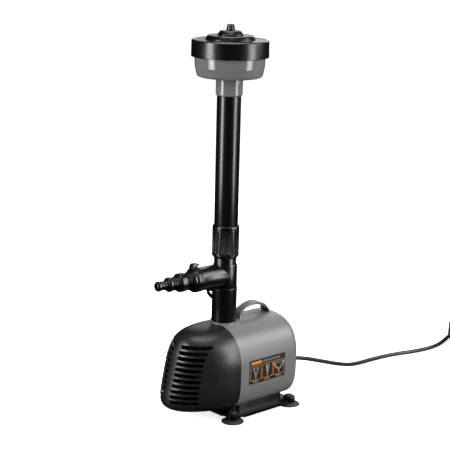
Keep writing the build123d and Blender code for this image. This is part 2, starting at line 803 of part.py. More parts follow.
def bowl():
    """The open bowl, with the hollow stem that feeds the nozzle."""
    foot_z = sleeve_top_z
    outer = [
        (bowl_foot_radius, foot_z), (bowl_foot_radius + 0.75 * bowl_foot_round, foot_z + 0.25 * bowl_foot_round),
        (bowl_foot_radius + bowl_foot_round, foot_z + bowl_foot_round), (bowl_crease_radius, bowl_crease_z),
        (bowl_rim_radius, bowl_rim_z),
    ]
    inner = [(r - bowl_wall, z + (bowl_wall if z < bowl_crease_z - 1 else 0)) for r, z in reversed(outer)]
    shell = turned([(0, foot_z)] + outer + inner + [(0, foot_z + bowl_wall)])
    shell += upright(stem_radius, pipe_top_z + 2, stem_top_z)
    return on_riser(shell - upright(stem_radius - stem_wall, pipe_top_z, stem_top_z + 1))


def lift_ring():
    inner = stem_radius + running_fit
    bottom_z = cap_skirt_bottom_z - 5
    return on_riser(tube_z(inner + lift_ring_wall, inner, bottom_z, bottom_z + lift_ring_height))


def cap():
    """The wide cap over the bowl, with a hub that turns on the lift ring."""
    hub_bore = stem_radius + 2 * running_fit + lift_ring_wall
    under_z = cap_top_z - cap_wall
    skirt = turned([
        (hub_bore, cap_skirt_bottom_z), (cap_radius + cap_flare, cap_skirt_bottom_z), (cap_radius, cap_top_z - cap_edge),
        (cap_radius - cap_edge, cap_top_z), (hub_bore, cap_top_z),
    ])
    skirt -= upright(cap_radius - cap_wall, cap_skirt_bottom_z - 1, under_z)
    hub = tube_z(hub_bore + cap_wall, hub_bore, cap_skirt_bottom_z - cap_hub_drop, under_z + 0.1)
    return on_riser(skirt + hub)


def tier(radii, bottom_z, height, bore, hollow):
    """One stepped disc on top of the cap."""
    block = turned([(0, bottom_z), (radii[0], bottom_z), (radii[1], bottom_z + height), (0, bottom_z + height)])
    block -= upright(bore, bottom_z - 1, bottom_z + height + 1)
    if hollow:
        block -= upright(radii[1] - 2 * cap_wall, bottom_z - 1, bottom_z + height - cap_wall)
    return on_riser(block)


def nozzle_tip():
    """The fluted nozzle that turns in the top tier."""
    foot_z = tier_three_z + part_gap
    body = turned([
        (0, tier_two_z - cap_wall - 2), (tip_stem_radius, tier_two_z - cap_wall - 2), (tip_stem_radius, foot_z),
        (tip_radii[0], foot_z), (tip_radii[1], tip_top_z), (0, tip_top_z),
    ])
    lean = math.degrees(math.atan((tip_radii[0] - tip_radii[1]) / tip_height))
    for flute in range(tip_flutes):
        groove = Rot(0, -lean, 0) * upright(tip_flute_radius, tip_flute_start, 2 * tip_height)
        groove = Pos(tip_radii[0] + 0.2, 0, foot_z) * groove
        body -= Rot(0, 0, 360 / tip_flutes * flute) * groove
    return on_riser(body - upright(tip_bore, cap_top_z, tip_top_z + 1))


def label_plate():
    """A thin plate on the casing's side."""
    skin = casing_block(casing_front_x, casing_rear_x, -label_thickness) - casing_block(
        casing_front_x - 1, casing_rear_x + 1, 0
    )
    window = Box(label_length, body_width, label_height, align=(Align.MIN, Align.MAX, Align.MIN))
    return skin & Pos(label_front_x, 0, label_bottom_z) * window


# ---- cord, from the gland to the coil, and from the coil to the plug ----
coil_entry_z = coil_lift + cord_radius + coil_tuck
plug_lead_bend = coil_tangent(coil_exit_angle, plug_radius, coil_stub + plug_lead_lengths[0])
plug_back = (
    plug_lead_bend[0] - plug_lead_lengths[1] * math.cos(math.radians(plug_heading)),
    plug_lead_bend[1] + plug_lead_lengths[1] * math.sin(math.radians(plug_heading)),
    plug_radius,
)
cord_route = [
    (relief_end_x, 0, gland_z),
    (112, 0, gland_z),
    (139, -1, 40),
    (172, -2.5, 29),
    (208, -2, 16.5),
    (246, 0.5, 5.6),
    (294, 4, 3.6),
    (345, -1, 3.5),
    (391, -16, 3.7),
    coil_tangent(coil_entry_angle, coil_entry_z, -coil_stub - 40),
    coil_tangent(coil_entry_angle, coil_entry_z, -coil_stub),
]
plug_route = [
    coil_tangent(coil_exit_angle, plug_radius, coil_stub),
    plug_lead_bend,
    plug_back,
]


def cord_gland():
    x = casing_rear_x
    body = along_x(gland_flange_radius, x, x + gland_flange, gland_z)
    body += along_x(gland_neck_radius, x - shell_wall, x, gland_z)
    nut = Pos(x + gland_flange, 0, gland_z) * Rot(0, 90, 0) * extrude(
        RegularPolygon(gland_nut_radius, 6), gland_nut_length
    )
    return body + nut


def strain_relief():
    x = casing_rear_x + gland_flange + gland_nut_length
    step = relief_length / relief_rings
    outline = [(x, 0)]
    for ring in range(relief_rings):
        share = ring / (relief_rings - 1)
        radius = relief_radii[0] + share * (relief_radii[1] - relief_radii[0])
        outline += [
            (x + ring * step, radius), (x + (ring + 0.6) * step, radius),
            (x + (ring + 0.6) * step, radius - relief_groove), (x + (ring + 1) * step, radius - relief_groove),
        ]
    outline += [(x + relief_length, 0)]
    boot = revolve(make_face(Polyline(*[(px, 0, pz) for px, pz in outline], close=True)), Axis.X)
    return Pos(0, 0, gland_z) * boot


def round_path(points):
    """Straight runs joined by tangent arcs, each as large as its two runs allow."""
    corners_3d = [Vector(*p) for p in points]
    radii = []
    for before, here, after in zip(corners_3d, corners_3d[1:], corners_3d[2:]):
        arriving = here - before
        leaving = after - here
        half_turn = math.radians(arriving.get_angle(leaving)) / 2
        radii.append(0.45 * min(arriving.length, leaving.length) / math.tan(half_turn))
    return FilletPolyline(*points, radius=radii)


def cord_tube(points):
    path = round_path(points)
    start = Plane(origin=path @ 0, z_dir=path % 0)
    return sweep(start * Circle(cord_radius), path=path)


def stub(angle, z, length):
    """The short straight stretch of cord that runs into or out of the coil."""
    path = Line(coil_tangent(angle, z, 0), coil_tangent(angle, z, length))
    return sweep(Plane(origin=path @ 0, z_dir=path % 0) * Circle(cord_radius), path=path)


def cord_coil():
    section = Pos(coil_radius, coil_mid_z) * RectangleRounded(coil_depth, coil_depth, cord_radius)
    ring = revolve(Plane.XZ * section, Axis.Z)
    ring = Pos(coil_centre[0], coil_centre[1]) * ring
    return ring + stub(coil_entry_angle, coil_entry_z, -coil_stub) + stub(coil_exit_angle, plug_radius, coil_stub)


def cord_tie(angle):
    inner = coil_depth + 2 * tie_gap
    outer = inner + 2 * tie_thickness
    band = RectangleRounded(outer, outer, cord_radius + tie_thickness) - RectangleRounded(inner, inner, cord_radius)
    band = extrude(Plane.XZ * Pos(coil_radius, coil_mid_z) * band, tie_width / 2, both=True)
    return Pos(coil_centre[0], coil_centre[1]) * Rot(0, 0, angle) * band


def on_plug(shape):
    """Places a shape, drawn from its cord end towards -X, where the plug lies."""
    return Pos(*plug_back) * Rot(0, 0, -plug_heading) * shape


def plug_body():
    grip = plug_grip_length
    face = grip + plug_face_length
    outline = Polyline(
        (0, 0, 0), (0, 0, plug_grip_radii[1]), (-0.45 * grip, 0, 0.8 * plug_grip_radii[0]),
        (-0.9 * grip, 0, plug_grip_radii[0]), (-grip, 0, plug_radius), (-face + plug_edge, 0, plug_radius),
        (-face, 0, plug_radius - plug_edge), (-face, 0, 0), close=True,
    )
    body = revolve(make_face(outline), Axis.X)
    return on_plug(body)


def plug_pins():
    pins = Part()
    face = plug_grip_length + plug_face_length
    for side in (-1, 1):
        pins += along_x(plug_pin_radius, -face - plug_pin_length, -face, 0, side * plug_pin_pitch / 2)
    return on_plug(pins)


nodes = {
    "motor_casing": motor_casing,
    "motor_block": motor_block,
    "stator_core": stator_core,
    "windings": windings,
    "pump_chamber": pump_chamber,
    "chamber_seal": chamber_seal,
    "motor_seal": motor_seal,
    "chamber_lid": chamber_lid,
    "chamber_screws": chamber_screws,
    "front_bushing": lambda: bushing(lid_front_x),
    "rear_bushing": lambda: bushing(shaft_rear_x - bushing_length),
    "shaft": lambda: along_x(shaft_radius, lid_front_x, shaft_rear_x),
    "thrust_washers": thrust_washers,
    "impeller": impeller,
    "rotor_magnet": lambda: tube_x(magnet_radius, bushing_radius, magnet_front_x, magnet_front_x + magnet_length),
    "strainer_cover": strainer_cover,
    "base": base_plate_solid,
    "base_screws": base_screws,
    "lower_tube": lower_tube,
    "tube_latch": latch,
    "tee": tee,
    "hose_adapter": hose_adapter,
    "valve_lever": valve_lever,
    "union_collar": union_collar,
    "telescopic_pipe": telescopic_pipe,
    "head_sleeve": head_sleeve,
    "bowl": bowl,
    "lift_ring": lift_ring,
    "cap": cap,
    "cap_tier_two": lambda: tier(tier_two_radii, cap_top_z, tier_two_height, stem_radius + 1, True),
    "cap_tier_three": lambda: tier(tier_three_radii, tier_two_z, tier_three_height, tip_stem_bore, False),
    "nozzle_tip": nozzle_tip,
    "label_plate": label_plate,
    "cord_gland": cord_gland,
    "strain_relief": strain_relief,
    "cord": lambda: cord_tube(cord_route),
    "cord_coil": cord_coil,
    "plug_lead": lambda: cord_tube(plug_route),
    "plug_body": plug_body,
    "plug_pins": plug_pins,
}
for number, (x, y) in enumerate(corners(foot_pitch_x, foot_pitch_y), 1):
    nodes[f"suction_cup_{number}"] = lambda x=x, y=y: suction_cup(x, y)
for number, angle in enumerate(tie_angles, 1):
    nodes[f"cord_tie_{number}"] = lambda angle=angle: cord_tie(angle)

os.makedirs("parts", exist_ok=True)
for name, make in nodes.items():
    export_step(make(), f"parts/{name}.step")
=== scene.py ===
"""Submersible fountain pump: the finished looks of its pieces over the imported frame."""

import json
import math
from types import SimpleNamespace

import bmesh
import bpy
from mathutils import Matrix, Vector


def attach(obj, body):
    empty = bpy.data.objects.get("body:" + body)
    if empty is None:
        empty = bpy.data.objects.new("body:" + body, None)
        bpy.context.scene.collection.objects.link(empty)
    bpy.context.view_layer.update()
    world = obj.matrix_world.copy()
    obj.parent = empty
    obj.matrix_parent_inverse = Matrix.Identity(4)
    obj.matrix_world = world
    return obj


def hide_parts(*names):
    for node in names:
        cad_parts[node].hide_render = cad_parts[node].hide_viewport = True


bl_info = {
    "name": "Fountain pump",
    "version": (1, 0, 0),
    "blender": (4, 5, 0),
    "location": "View3D > Sidebar > Pump",
    "description": "Builds the pieces and finishes of a submersible fountain pump",
    "category": "Add Mesh",
}

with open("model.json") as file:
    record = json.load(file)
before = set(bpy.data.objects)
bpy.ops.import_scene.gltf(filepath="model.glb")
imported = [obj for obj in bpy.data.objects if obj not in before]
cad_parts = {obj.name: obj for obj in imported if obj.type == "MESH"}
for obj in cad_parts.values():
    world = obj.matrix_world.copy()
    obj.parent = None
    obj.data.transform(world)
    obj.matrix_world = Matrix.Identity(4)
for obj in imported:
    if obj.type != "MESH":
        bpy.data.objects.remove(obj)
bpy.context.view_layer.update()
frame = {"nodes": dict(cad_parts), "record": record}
MM = 0.001


# ---- sizes and colours ----
def size(label, note, millimetres):
    """A length that the user may change, kept in metres."""
    return bpy.props.FloatProperty(
        name=label, description=note, default=millimetres * MM, unit="LENGTH", subtype="DISTANCE", precision=4
    )


def tint(label, note, red, green, blue):
    """A colour that the user may change."""
    return bpy.props.FloatVectorProperty(
        name=label, description=note, default=(red, green, blue), size=3, subtype="COLOR", min=0.0, max=1.0
    )


class PumpSizes(bpy.types.PropertyGroup):
    """Lengths of the pump's visible pieces."""

    body_width: size("Body width", "Width of the casing at its widest", 114.0)
    body_bottom: size("Body bottom", "Height of the casing's underside", 14.0)
    body_top: size("Body top", "Height of the casing's top", 134.0)
    body_widest: size("Body widest", "Height at which the casing is widest", 75.0)
    casing_front: size("Casing front", "Where the strainer cover meets the casing", -50.0)
    casing_rear: size("Casing rear", "The casing's rear face", 68.0)
    casing_round: size("Casing rounding", "Radius of the casing's rear edge", 14.0)
    nose_length: size("Nose length", "How far the strainer cover stands out at its toe", 91.0)
    toe_rise: size("Toe rise", "How far the nose's underside climbs to its toe", 5.0)
    shell_wall: size("Shell wall", "Wall of the casing and the cover", 2.6)
    slot_pitch: size("Slot pitch", "From one intake slot to the next", 7.7)
    slot_height: size("Slot height", "Opening of an intake slot", 5.2)
    slot_first: size("First slot", "Height of the lowest intake slot", 37.3)
    slot_inner: size("Slot inner end", "Distance of a slot's inner end from the middle", 6.0)
    slot_outer: size("Slot outer end", "Distance of a slot's outer end from the middle", 39.3)
    riser_x: size("Riser axis", "Where the riser stands along the pump", -34.5)
    lower_tube: size("Lower tube", "Outer radius of the lower tube", 18.0)
    pipe: size("Telescopic pipe", "Outer radius of the telescopic pipe", 17.0)
    collar: size("Union collar", "Outer radius of the union collar", 19.3)
    outlet_height: size("Outlet height", "Height of the side outlet's axis", 203.7)
    cup: size("Suction cup", "Outer radius of a suction cup", 16.2)
    cap: size("Cap", "Outer radius of the fountain cap", 53.6)
    cord: size("Cord", "Radius of the mains cord", 3.25)


class PumpColours(bpy.types.PropertyGroup):
    """Base colours of the pump's finishes."""

    casing: tint("Casing", "Grey plastic of the motor casing", 0.135, 0.135, 0.136)
    head: tint("Head", "Grey plastic of the fountain head", 0.125, 0.125, 0.122)
    black: tint("Black", "Black plastic of the fittings", 0.0022, 0.0022, 0.0022)
    rubber: tint("Rubber", "Rubber of the feet and seals", 0.017, 0.017, 0.017)
    orange: tint("Orange", "Printed lines of the label", 0.55, 0.2, 0.02)
    paper: tint("Light print", "Light marks of the label", 0.5, 0.5, 0.48)


def sizes():
    """The lengths in millimetres."""
    group = bpy.context.scene.pump_sizes
    return SimpleNamespace(**{key: getattr(group, key) / MM for key in PumpSizes.__annotations__})


# ---- node trees ----
class Net:
    """One node tree, with one way to add a node: its settings first, then its sockets."""

    def __init__(self, tree):
        self.tree = tree

    def node(self, kind, settings=None, sockets=None, out=0):
        node = self.tree.nodes.new(kind)
        for key, value in (settings or {}).items():
            if key == "stops":
                ramp = node.color_ramp
                while len(ramp.elements) < len(value):
                    ramp.elements.new(0.5)
                for element, (place, shade) in zip(ramp.elements, value):
                    element.position = place
                    element.color = (shade, shade, shade, 1.0)
            else:
                setattr(node, key, value)
        for key, value in (sockets or {}).items():
            self.feed(node.inputs[key], value)
        return Wire(self, node.outputs[out]) if node.outputs else node

    def feed(self, socket, value):
        """Links a wire to a socket, or sets the socket's own value."""
        if isinstance(value, Wire):
            self.tree.links.new(value.socket, socket)
        elif socket.type == "RGBA" and len(value) == 3:
            socket.default_value = (*value, 1.0)
        else:
            socket.default_value = value

    def maths(self, operation, first, second=0.0, third=0.0, clamp=False):
        settings = {"operation": operation, "use_clamp": clamp}
        return self.node("ShaderNodeMath", settings, {0: first, 1: second, 2: third})

    def vector(self, operation, first, second=(0.0, 0.0, 0.0)):
        return self.node("ShaderNodeVectorMath", {"operation": operation}, {0: first, 1: second})


class Wire:
    """A socket that takes part in sums; each sum adds its Math node."""

    def __init__(self, net, socket):
        self.net = net
        self.socket = socket

    def __add__(self, other):
        return self.net.maths("ADD", self, other)

    def __radd__(self, other):
        return self.net.maths("ADD", other, self)

    def __sub__(self, other):
        return self.net.maths("SUBTRACT", self, other)

    def __rsub__(self, other):
        return self.net.maths("SUBTRACT", other, self)

    def __mul__(self, other):
        return self.net.maths("MULTIPLY", self, other)

    def __rmul__(self, other):
        return self.net.maths("MULTIPLY", other, self)

    def __truediv__(self, other):
        return self.net.maths("DIVIDE", self, other)

    def __gt__(self, other):
        return self.net.maths("GREATER_THAN", self, other)

    def __lt__(self, other):
        return self.net.maths("LESS_THAN", self, other)

    def __abs__(self):
        return self.net.maths("ABSOLUTE", self)

    def __pow__(self, other):
        return self.net.maths("POWER", self, other)

    def within(self, low, high):
        """1 between two values and 0 outside them."""
        return (self > low) * (self < high)

    def parts(self):
        """The three components of a vector."""
        split = self.net.tree.nodes.new("ShaderNodeSeparateXYZ")
        self.net.tree.links.new(self.socket, split.inputs[0])
        return [Wire(self.net, output) for output in split.outputs]


class Finish(Net):
    """A material in the making, its shader and the patterns that all finishes share."""

    def __init__(self, name):
        plain = bpy.data.materials.get(name)
        if plain:
            plain.name = name + "_plain"
        self.material = bpy.data.materials.new(name)
        self.material.use_nodes = True
        super().__init__(self.material.node_tree)
        self.shader = self.tree.nodes["Principled BSDF"]
        self.place = self.node("ShaderNodeTexCoord", out=3)

    def set(self, **values):
        """Sets or links the shader's sockets; an underscore stands for a space."""
        for key, value in values.items():
            self.feed(self.shader.inputs[key.replace("_", " ")], value)
        return self

    def noise(self, scale, detail=2.0, place=None):
        sockets = {"Vector": place or self.place, "Scale": scale, "Detail": detail}
        return self.node("ShaderNodeTexNoise", {}, sockets)

    def cells(self, scale, place=None):
        return self.node("ShaderNodeTexVoronoi", {}, {"Vector": place or self.place, "Scale": scale})

    def stretched(self, x, y, z):
        """Object coordinates, multiplied along each axis."""
        return self.vector("MULTIPLY", self.place, (x, y, z))

    def mix(self, factor, first, second):
        sockets = {0: factor, 6: first, 7: second}
        return self.node("ShaderNodeMix", {"data_type": "RGBA"}, sockets, out=2)

    def bump(self, height, strength, distance, normal=None):
        sockets = {"Height": height, "Strength": strength, "Distance": distance}
        if normal:
            sockets["Normal"] = normal
        return self.node("ShaderNodeBump", {}, sockets)

    def ramp(self, factor, low, high):
        """0 below one value and 1 above the other, with an even slope between them."""
        return self.node("ShaderNodeMapRange", {"clamp": True}, {0: factor, 1: low, 2: high})


def shade(colour, by):
    """A colour made lighter or darker."""
    return tuple(min(1.0, channel * by) for channel in colour)


def moulded(name, colour, rough, grain=0.0, grain_size=0.0006, mottle=0.1, flow=0.0, coat=0.0, gloss=0.5):
    """Injection-moulded plastic: spark texture, faint flow marks and uneven gloss."""
    f = Finish(name)
    patch = f.noise(26.0, 3.0)
    speck = f.noise(900.0, 2.0)
    toned = f.mix(patch, shade(colour, 1.0 - mottle), shade(colour, 1.0 + mottle))
    f.set(Base_Color=f.mix(f.ramp(speck, 0.62, 0.75) * 0.35, toned, shade(colour, 1.5)))
    handled = f.ramp(f.noise(70.0, 4.0), 0.35, 0.75)
    f.set(Roughness=handled * (0.22 * rough) + (0.9 * rough))
    normal = None
    if flow:
        wave = f.noise(9.0, 1.0, f.stretched(1.0, 1.0, 0.35))
        normal = f.bump(wave, flow, 0.004)
    if grain:
        pits = f.cells(1.0 / grain_size)
        normal = f.bump(pits, grain, 0.15 * grain_size, normal)
    if normal:
        f.set(Normal=normal)
    f.set(Coat_Weight=coat, Coat_Roughness=0.08, Specular_IOR_Level=gloss)
    return f.material


def drawn_tube(name, colour, rough):
    """Extruded pipe: fine lines along its length."""
    f = Finish(name)
    lines = f.noise(420.0, 2.0, f.stretched(1.0, 1.0, 0.02))
    patch = f.noise(18.0, 3.0)
    f.set(Base_Color=f.mix(patch, shade(colour, 0.85), shade(colour, 1.25)))
    f.set(Roughness=lines * 0.08 + patch * 0.06 + (rough - 0.05))
    f.set(Normal=f.bump(lines, 0.12, 0.0002))
    return f.material


def rubber(name, colour, rough):
    """Soft rubber with a dusty bloom."""
    f = Finish(name)
    bloom = f.ramp(f.noise(60.0, 5.0), 0.4, 0.8)
    f.set(Base_Color=f.mix(bloom, colour, shade(colour, 2.2)))
    f.set(Roughness=bloom * 0.15 + rough)
    skin = f.noise(1500.0, 2.0)
    f.set(Normal=f.bump(skin, 0.25, 0.0001))
    return f.material


def cord_sheath(name, colour):
    """Rubber sheath of the cord, with a faint lay of the cores under it."""
    f = Finish(name)
    scuff = f.ramp(f.noise(240.0, 4.0), 0.5, 0.8)
    f.set(Base_Color=f.mix(scuff, colour, shade(colour, 2.4)))
    f.set(Roughness=scuff * 0.16 + 0.36)
    f.set(Normal=f.bump(f.noise(700.0, 3.0), 0.2, 0.00015))
    return f.material


def metal(name, colour, rough, grind=(1.0, 1.0, 1.0)):
    """Machined metal with tool lines."""
    f = Finish(name)
    lines = f.noise(900.0, 3.0, f.stretched(*grind))
    f.set(Base_Color=f.mix(f.noise(80.0, 3.0), shade(colour, 0.85), shade(colour, 1.1)))
    f.set(Metallic=1.0, Roughness=lines * 0.2 + rough)
    f.set(Normal=f.bump(lines, 0.15, 0.0001))
    return f.material


def laminations(name, colour):
    """Steel sheets stacked along the rotor's axis."""
    f = Finish(name)
    along = f.place.parts()[0]
    seam = abs(f.maths("FRACT", along / 0.0005) - 0.5) > 0.36
    f.set(Base_Color=f.mix(seam, colour, shade(colour, 0.35)))
    f.set(Metallic=0.9, Roughness=f.noise(300.0, 3.0) * 0.2 + 0.35)
    f.set(Normal=f.bump(seam, 0.4, 0.0001))
    return f.material


def copper_turns(name, colour):
    """Enamelled wire laid round the stator, with painted highlights along each turn and painted shade between
    turns.
    """
    f = Finish(name)
    shaft_height, wire_pitch = 0.072, 0.0008
    _, y, z = f.place.parts()
    height = z - shaft_height
    reach = (y * y + height * height) ** 0.5
    strand = abs(f.maths("FRACT", reach / wire_pitch) - 0.5) * 2.0
    # Painted light: lighter along each wire's middle and darker between turns.
    f.set(Base_Color=f.mix(strand, shade(colour, 1.15), shade(colour, 0.45)))
    f.set(Metallic=0.85, Roughness=f.noise(200.0, 2.0) * 0.15 + 0.25, Coat_Weight=0.4)
    f.set(Normal=f.bump(1.0 - strand, 0.5, 0.0003))
    return f.material


def woven_tie(name, colour):
    """Hook-and-loop strap."""
    f = Finish(name)
    weave = f.node("ShaderNodeTexWave", {"wave_type": "BANDS"},
        {"Vector": f.place, "Scale": 300.0, "Distortion": 3.0}, 1)
    fuzz = f.noise(1800.0, 4.0)
    f.set(Base_Color=f.mix(weave, shade(colour, 0.7), shade(colour, 2.4)))
    f.set(Roughness=fuzz * 0.2 + 0.7)
    f.set(Normal=f.bump(fuzz * 0.6 + weave * 0.4, 0.6, 0.0004))
    return f.material


def label_print(name, colours):
    """Printed label: a heading of plain bars over three outlined boxes with water jets."""
    f = Finish(name)
    x, _, z = f.place.parts()
    label_left, label_width = -0.034, 0.070
    label_foot, label_height = 0.0525, 0.035
    across = (x - label_left) / label_width
    up = (z - label_foot) / label_height
    panel = 0.0
    jet = 0.0
    foot = 0.0
    for box in range(3):
        middle = 0.175 + 0.325 * box
        dx = abs(across - middle)
        outer = (dx < 0.145) * up.within(0.13, 0.76)
        inner = (dx < 0.136) * up.within(0.15, 0.74)
        panel = (outer - inner) + panel
        nozzle = (dx < 0.018) * up.within(0.2, 0.34)
        spread = ((0.045, 0.004, 0.095)[box], (0.02, 0.03, 0.05)[box])
        rise = (up - 0.34) / 0.34
        arc = spread[0] * rise * (2.0 - rise) + spread[1] * rise
        plume = (abs(dx - arc) < (0.016 + 0.006 * box)) * up.within(0.34, 0.68)
        spray = (dx < spread[0] + 0.03) * up.within(0.6, 0.7) * (f.noise(2600.0) > 0.52)
        jet = f.maths("MAXIMUM", f.maths("MAXIMUM", nozzle, plume), f.maths("MAXIMUM", spray, jet))
        foot = (dx < 0.07) * up.within(0.055, 0.095) * (f.maths("FRACT", across * 31.0) > 0.35) + foot
    head_left = across.within(0.04, 0.335) * up.within(0.82, 0.93) * (f.maths("FRACT", across * 24.0) > 0.22)
    head_right = across.within(0.36, 0.86) * up.within(0.83, 0.92) * (f.maths("FRACT", across * 27.0) > 0.4)
    scuff = f.noise(160.0, 4.0)
    field = f.mix(scuff, (0.006, 0.006, 0.006), (0.014, 0.014, 0.013))
    boxed = f.mix(f.maths("MINIMUM", panel, 1.0), field, colours.orange)
    lined = f.mix(head_left, boxed, shade(colours.orange, 1.25))
    light = f.maths("MINIMUM", jet * 0.35 + foot * 0.6 + head_right * 0.3, 1.0)
    f.set(Base_Color=f.mix(light, lined, colours.paper))
    f.set(Roughness=scuff * 0.15 + 0.3, Coat_Weight=0.2)
    f.set(Normal=f.bump(light, 0.1, 0.00005))
    return f.material


def make_finishes():
    """One material for each of the record's finishes."""
    colours = bpy.context.scene.pump_colours
    chosen = (colours.casing, colours.head, colours.black, colours.rubber)
    casing, head, black, soft = [tuple(c) for c in chosen]
    moulded("casing_grey", casing, 0.36, grain=0.25, grain_size=0.0007, mottle=0.03, flow=0.04)
    moulded("head_grey", head, 0.16, mottle=0.04, flow=0.05)
    # The cover's black is four times lighter than the other blacks: a painted sheen, standing for the broad
    # soft reflection across the cover.
    moulded("cover_black", shade(black, 4.0), 0.36, grain=0.2, grain_size=0.0008, mottle=0.15, flow=0.05)
    moulded("base_black", black, 0.3, grain=0.15, mottle=0.15, flow=0.05)
    drawn_tube("riser_black", black, 0.24)
    moulded("cap_black", black, 0.28, mottle=0.1, flow=0.03)
    moulded("fitting_black", black, 0.27, grain=0.1, mottle=0.15, flow=0.08)
    rubber("cup_rubber", soft, 0.42)
    cord_sheath("cord_rubber", shade(soft, 0.8))
    moulded("plug_black", shade(soft, 0.9), 0.5, grain=0.4, grain_size=0.0006)
    metal("plug_metal", (0.72, 0.7, 0.66), 0.12, (0.1, 1.0, 1.0))
    woven_tie("tie_black", shade(soft, 0.8))
    moulded("resin", (0.03, 0.03, 0.032), 0.35, mottle=0.3, flow=0.2)
    laminations("lamination_steel", (0.42, 0.42, 0.43))
    copper_turns("copper", (0.6, 0.28, 0.14))
    # Nearly black rather than grey, with little reflection: painted shade, so the chamber seen through the
    # intake slots stays dark.
    moulded("chamber_grey", (0.004, 0.004, 0.004), 0.8, grain=0.2, gloss=0.05)
    rubber("seal_rubber", (0.03, 0.03, 0.03), 0.5)
    moulded("ceramic_white", (0.82, 0.81, 0.78), 0.15, mottle=0.04, coat=0.4)
    moulded("impeller_white", (0.7, 0.7, 0.68), 0.35, grain=0.1, mottle=0.03)
    metal("ferrite", (0.1, 0.1, 0.105), 0.4, (0.1, 1.0, 1.0))
    metal("screw_steel", (0.55, 0.55, 0.56), 0.2)
    label_print("label_print", colours)


# ---- meshes, drawn in millimetres in the row frame ----
def fraction(height, power):
    """How far a rounded outline still reaches, at a fraction of its height."""
    return max(0.0, 1.0 - abs(height) ** power) ** (1.0 / power)


def half_width(s, z, inset):
    """Half the body's width at a height, shrunk by an inset."""
    if z >= s.body_widest:
        share = (z - s.body_widest) / (s.body_top - s.body_widest - inset)
        return (s.body_width / 2 - inset) * fraction(share, 2.5)
    share = (s.body_widest - z) / (s.body_widest - s.body_bottom - inset)
    return (s.body_width / 2 - inset) * fraction(share, 4.0)


def nose_reach(s, z, inset):
    """How far the nose stands in front of the casing at a height."""
    lean = s.nose_length - 0.25 * (z - 40.0) - inset
    if z >= s.body_widest:
        return lean * fraction((z - s.body_widest) / (s.body_top - s.body_widest - inset), 5.0)
    return lean * fraction((s.body_widest - z) / (s.body_widest - s.body_bottom - inset), 6.0)


def even_points(points, count):
    """A line's points set out again at equal distances along it."""
    lengths = [0.0]
    for a, b in zip(points, points[1:]):
        lengths.append(lengths[-1] + (b - a).length)
    out = []
    at = 0
    for step in range(count):
        goal = lengths[-1] * step / (count - 1)
        while at < len(points) - 2 and lengths[at + 1] < goal:
            at += 1
        span = max(lengths[at + 1] - lengths[at], 1e-9)
        out.append(points[at].lerp(points[at + 1], (goal - lengths[at]) / span))
    return out


def body_ring(s, x, inset, count=36):
    """The body's outline across it at one place along it, as a closed ring."""
    side = []
    for step in range(201):
        a = math.pi * (step / 200 - 0.5)
        if a >= 0:
            z = s.body_widest + (s.body_top - s.body_widest - inset) * math.sin(a)
        else:
            z = s.body_widest + (s.body_widest - s.body_bottom - inset) * math.sin(a)
        side.append(Vector((x, half_width(s, z, inset), z)))
    side = even_points(side, count)
    return side + [Vector((x, -p.y, p.z)) for p in reversed(side[1:-1])]


def skin(bm, rings, ends=True):
    """Faces over a stack of rings that all have the same number of points."""
    rows = [[bm.verts.new(p) for p in ring] for ring in rings]
    for low, high in zip(rows, rows[1:]):
        for i in range(len(low)):
            j = (i + 1) % len(low)
            bm.faces.new((low[i], low[j], high[j], high[i]))
    if ends:
        bm.faces.new(list(reversed(rows[0])))
        bm.faces.new(rows[-1])
    return rows


def casing_rings(s, front, rear, inset, radius):
    """Rings from the casing's front to its rounded rear."""
    rings = [body_ring(s, x, inset) for x in (front, front + 0.6, 0.5 * (front + rear), rear - radius - 0.6)]
    for step in range(11):
        a = 0.5 * math.pi * step / 10
        rings.append(body_ring(s, rear - radius + radius * math.sin(a), inset + radius * (1 - math.cos(a))))
    rings.append(body_ring(s, rear, inset + radius + 2.0))
    return rings


def nose_rings(s, inset, back):
    """Level rings up the strainer cover, from its toe to its top."""
    rings = []
    for step in range(57):
        a = 0.5 * math.pi * 0.985 * (step / 28 - 1)
        drop = s.body_top - s.body_widest if a > 0 else s.body_widest - s.body_bottom
        z = s.body_widest + (drop - inset) * math.sin(a)
        wide, reach = half_width(s, z, inset), nose_reach(s, z, inset)
        front = []
        for turn in range(101):
            t = math.pi * (turn / 100 - 0.5)
            front.append(Vector((s.casing_front - reach * math.cos(t), wide * math.sin(t), z)))
        front = even_points(front, 65)
        if back > s.casing_front:
            front += [Vector((back, wide, z)), Vector((back, -wide, z))]
        rings.append([lifted_toe(s, Vector((min(p.x, back), p.y, p.z))) for p in front])
    return rings


def lifted_toe(s, p):
    """A point of the nose, raised where the underside climbs towards the toe."""
    ahead = min(1.0, max(0.0, s.casing_front - p.x) / s.nose_length)
    under = max(0.0, s.body_widest - p.z) / (s.body_widest - s.body_bottom)
    return Vector((p.x, p.y, p.z + s.toe_rise * ahead * under**3))


def rounded(points, steps=4):
    """Rounds the corners of a closed outline of (across, along, radius) points."""
    out = []
    for i, (across, along, radius) in enumerate(points):
        here = Vector((across, along))
        to_last = Vector(points[i - 1][:2]) - here
        to_next = Vector(points[(i + 1) % len(points)][:2]) - here
        lengths = to_last.length, to_next.length
        to_last.normalize()
        to_next.normalize()
        half = 0.5 * math.acos(max(-1.0, min(1.0, to_last.dot(to_next))))
        if radius <= 0 or half > 1.53 or half < 0.02:
            out.append(here)
            continue
        run = min(radius / math.tan(half), 0.45 * lengths[0], 0.45 * lengths[1])
        radius = run * math.tan(half)
        centre = here + (to_last + to_next).normalized() * (radius / math.sin(half))
        first, last = here + to_last * run - centre, here + to_next * run - centre
        sweep = math.pi - 2 * half
        for step in range(steps + 1):
            part = step / steps
            blend = first * math.sin((1 - part) * sweep) + last * math.sin(part * sweep)
            out.append(centre + blend / math.sin(sweep))
    return out


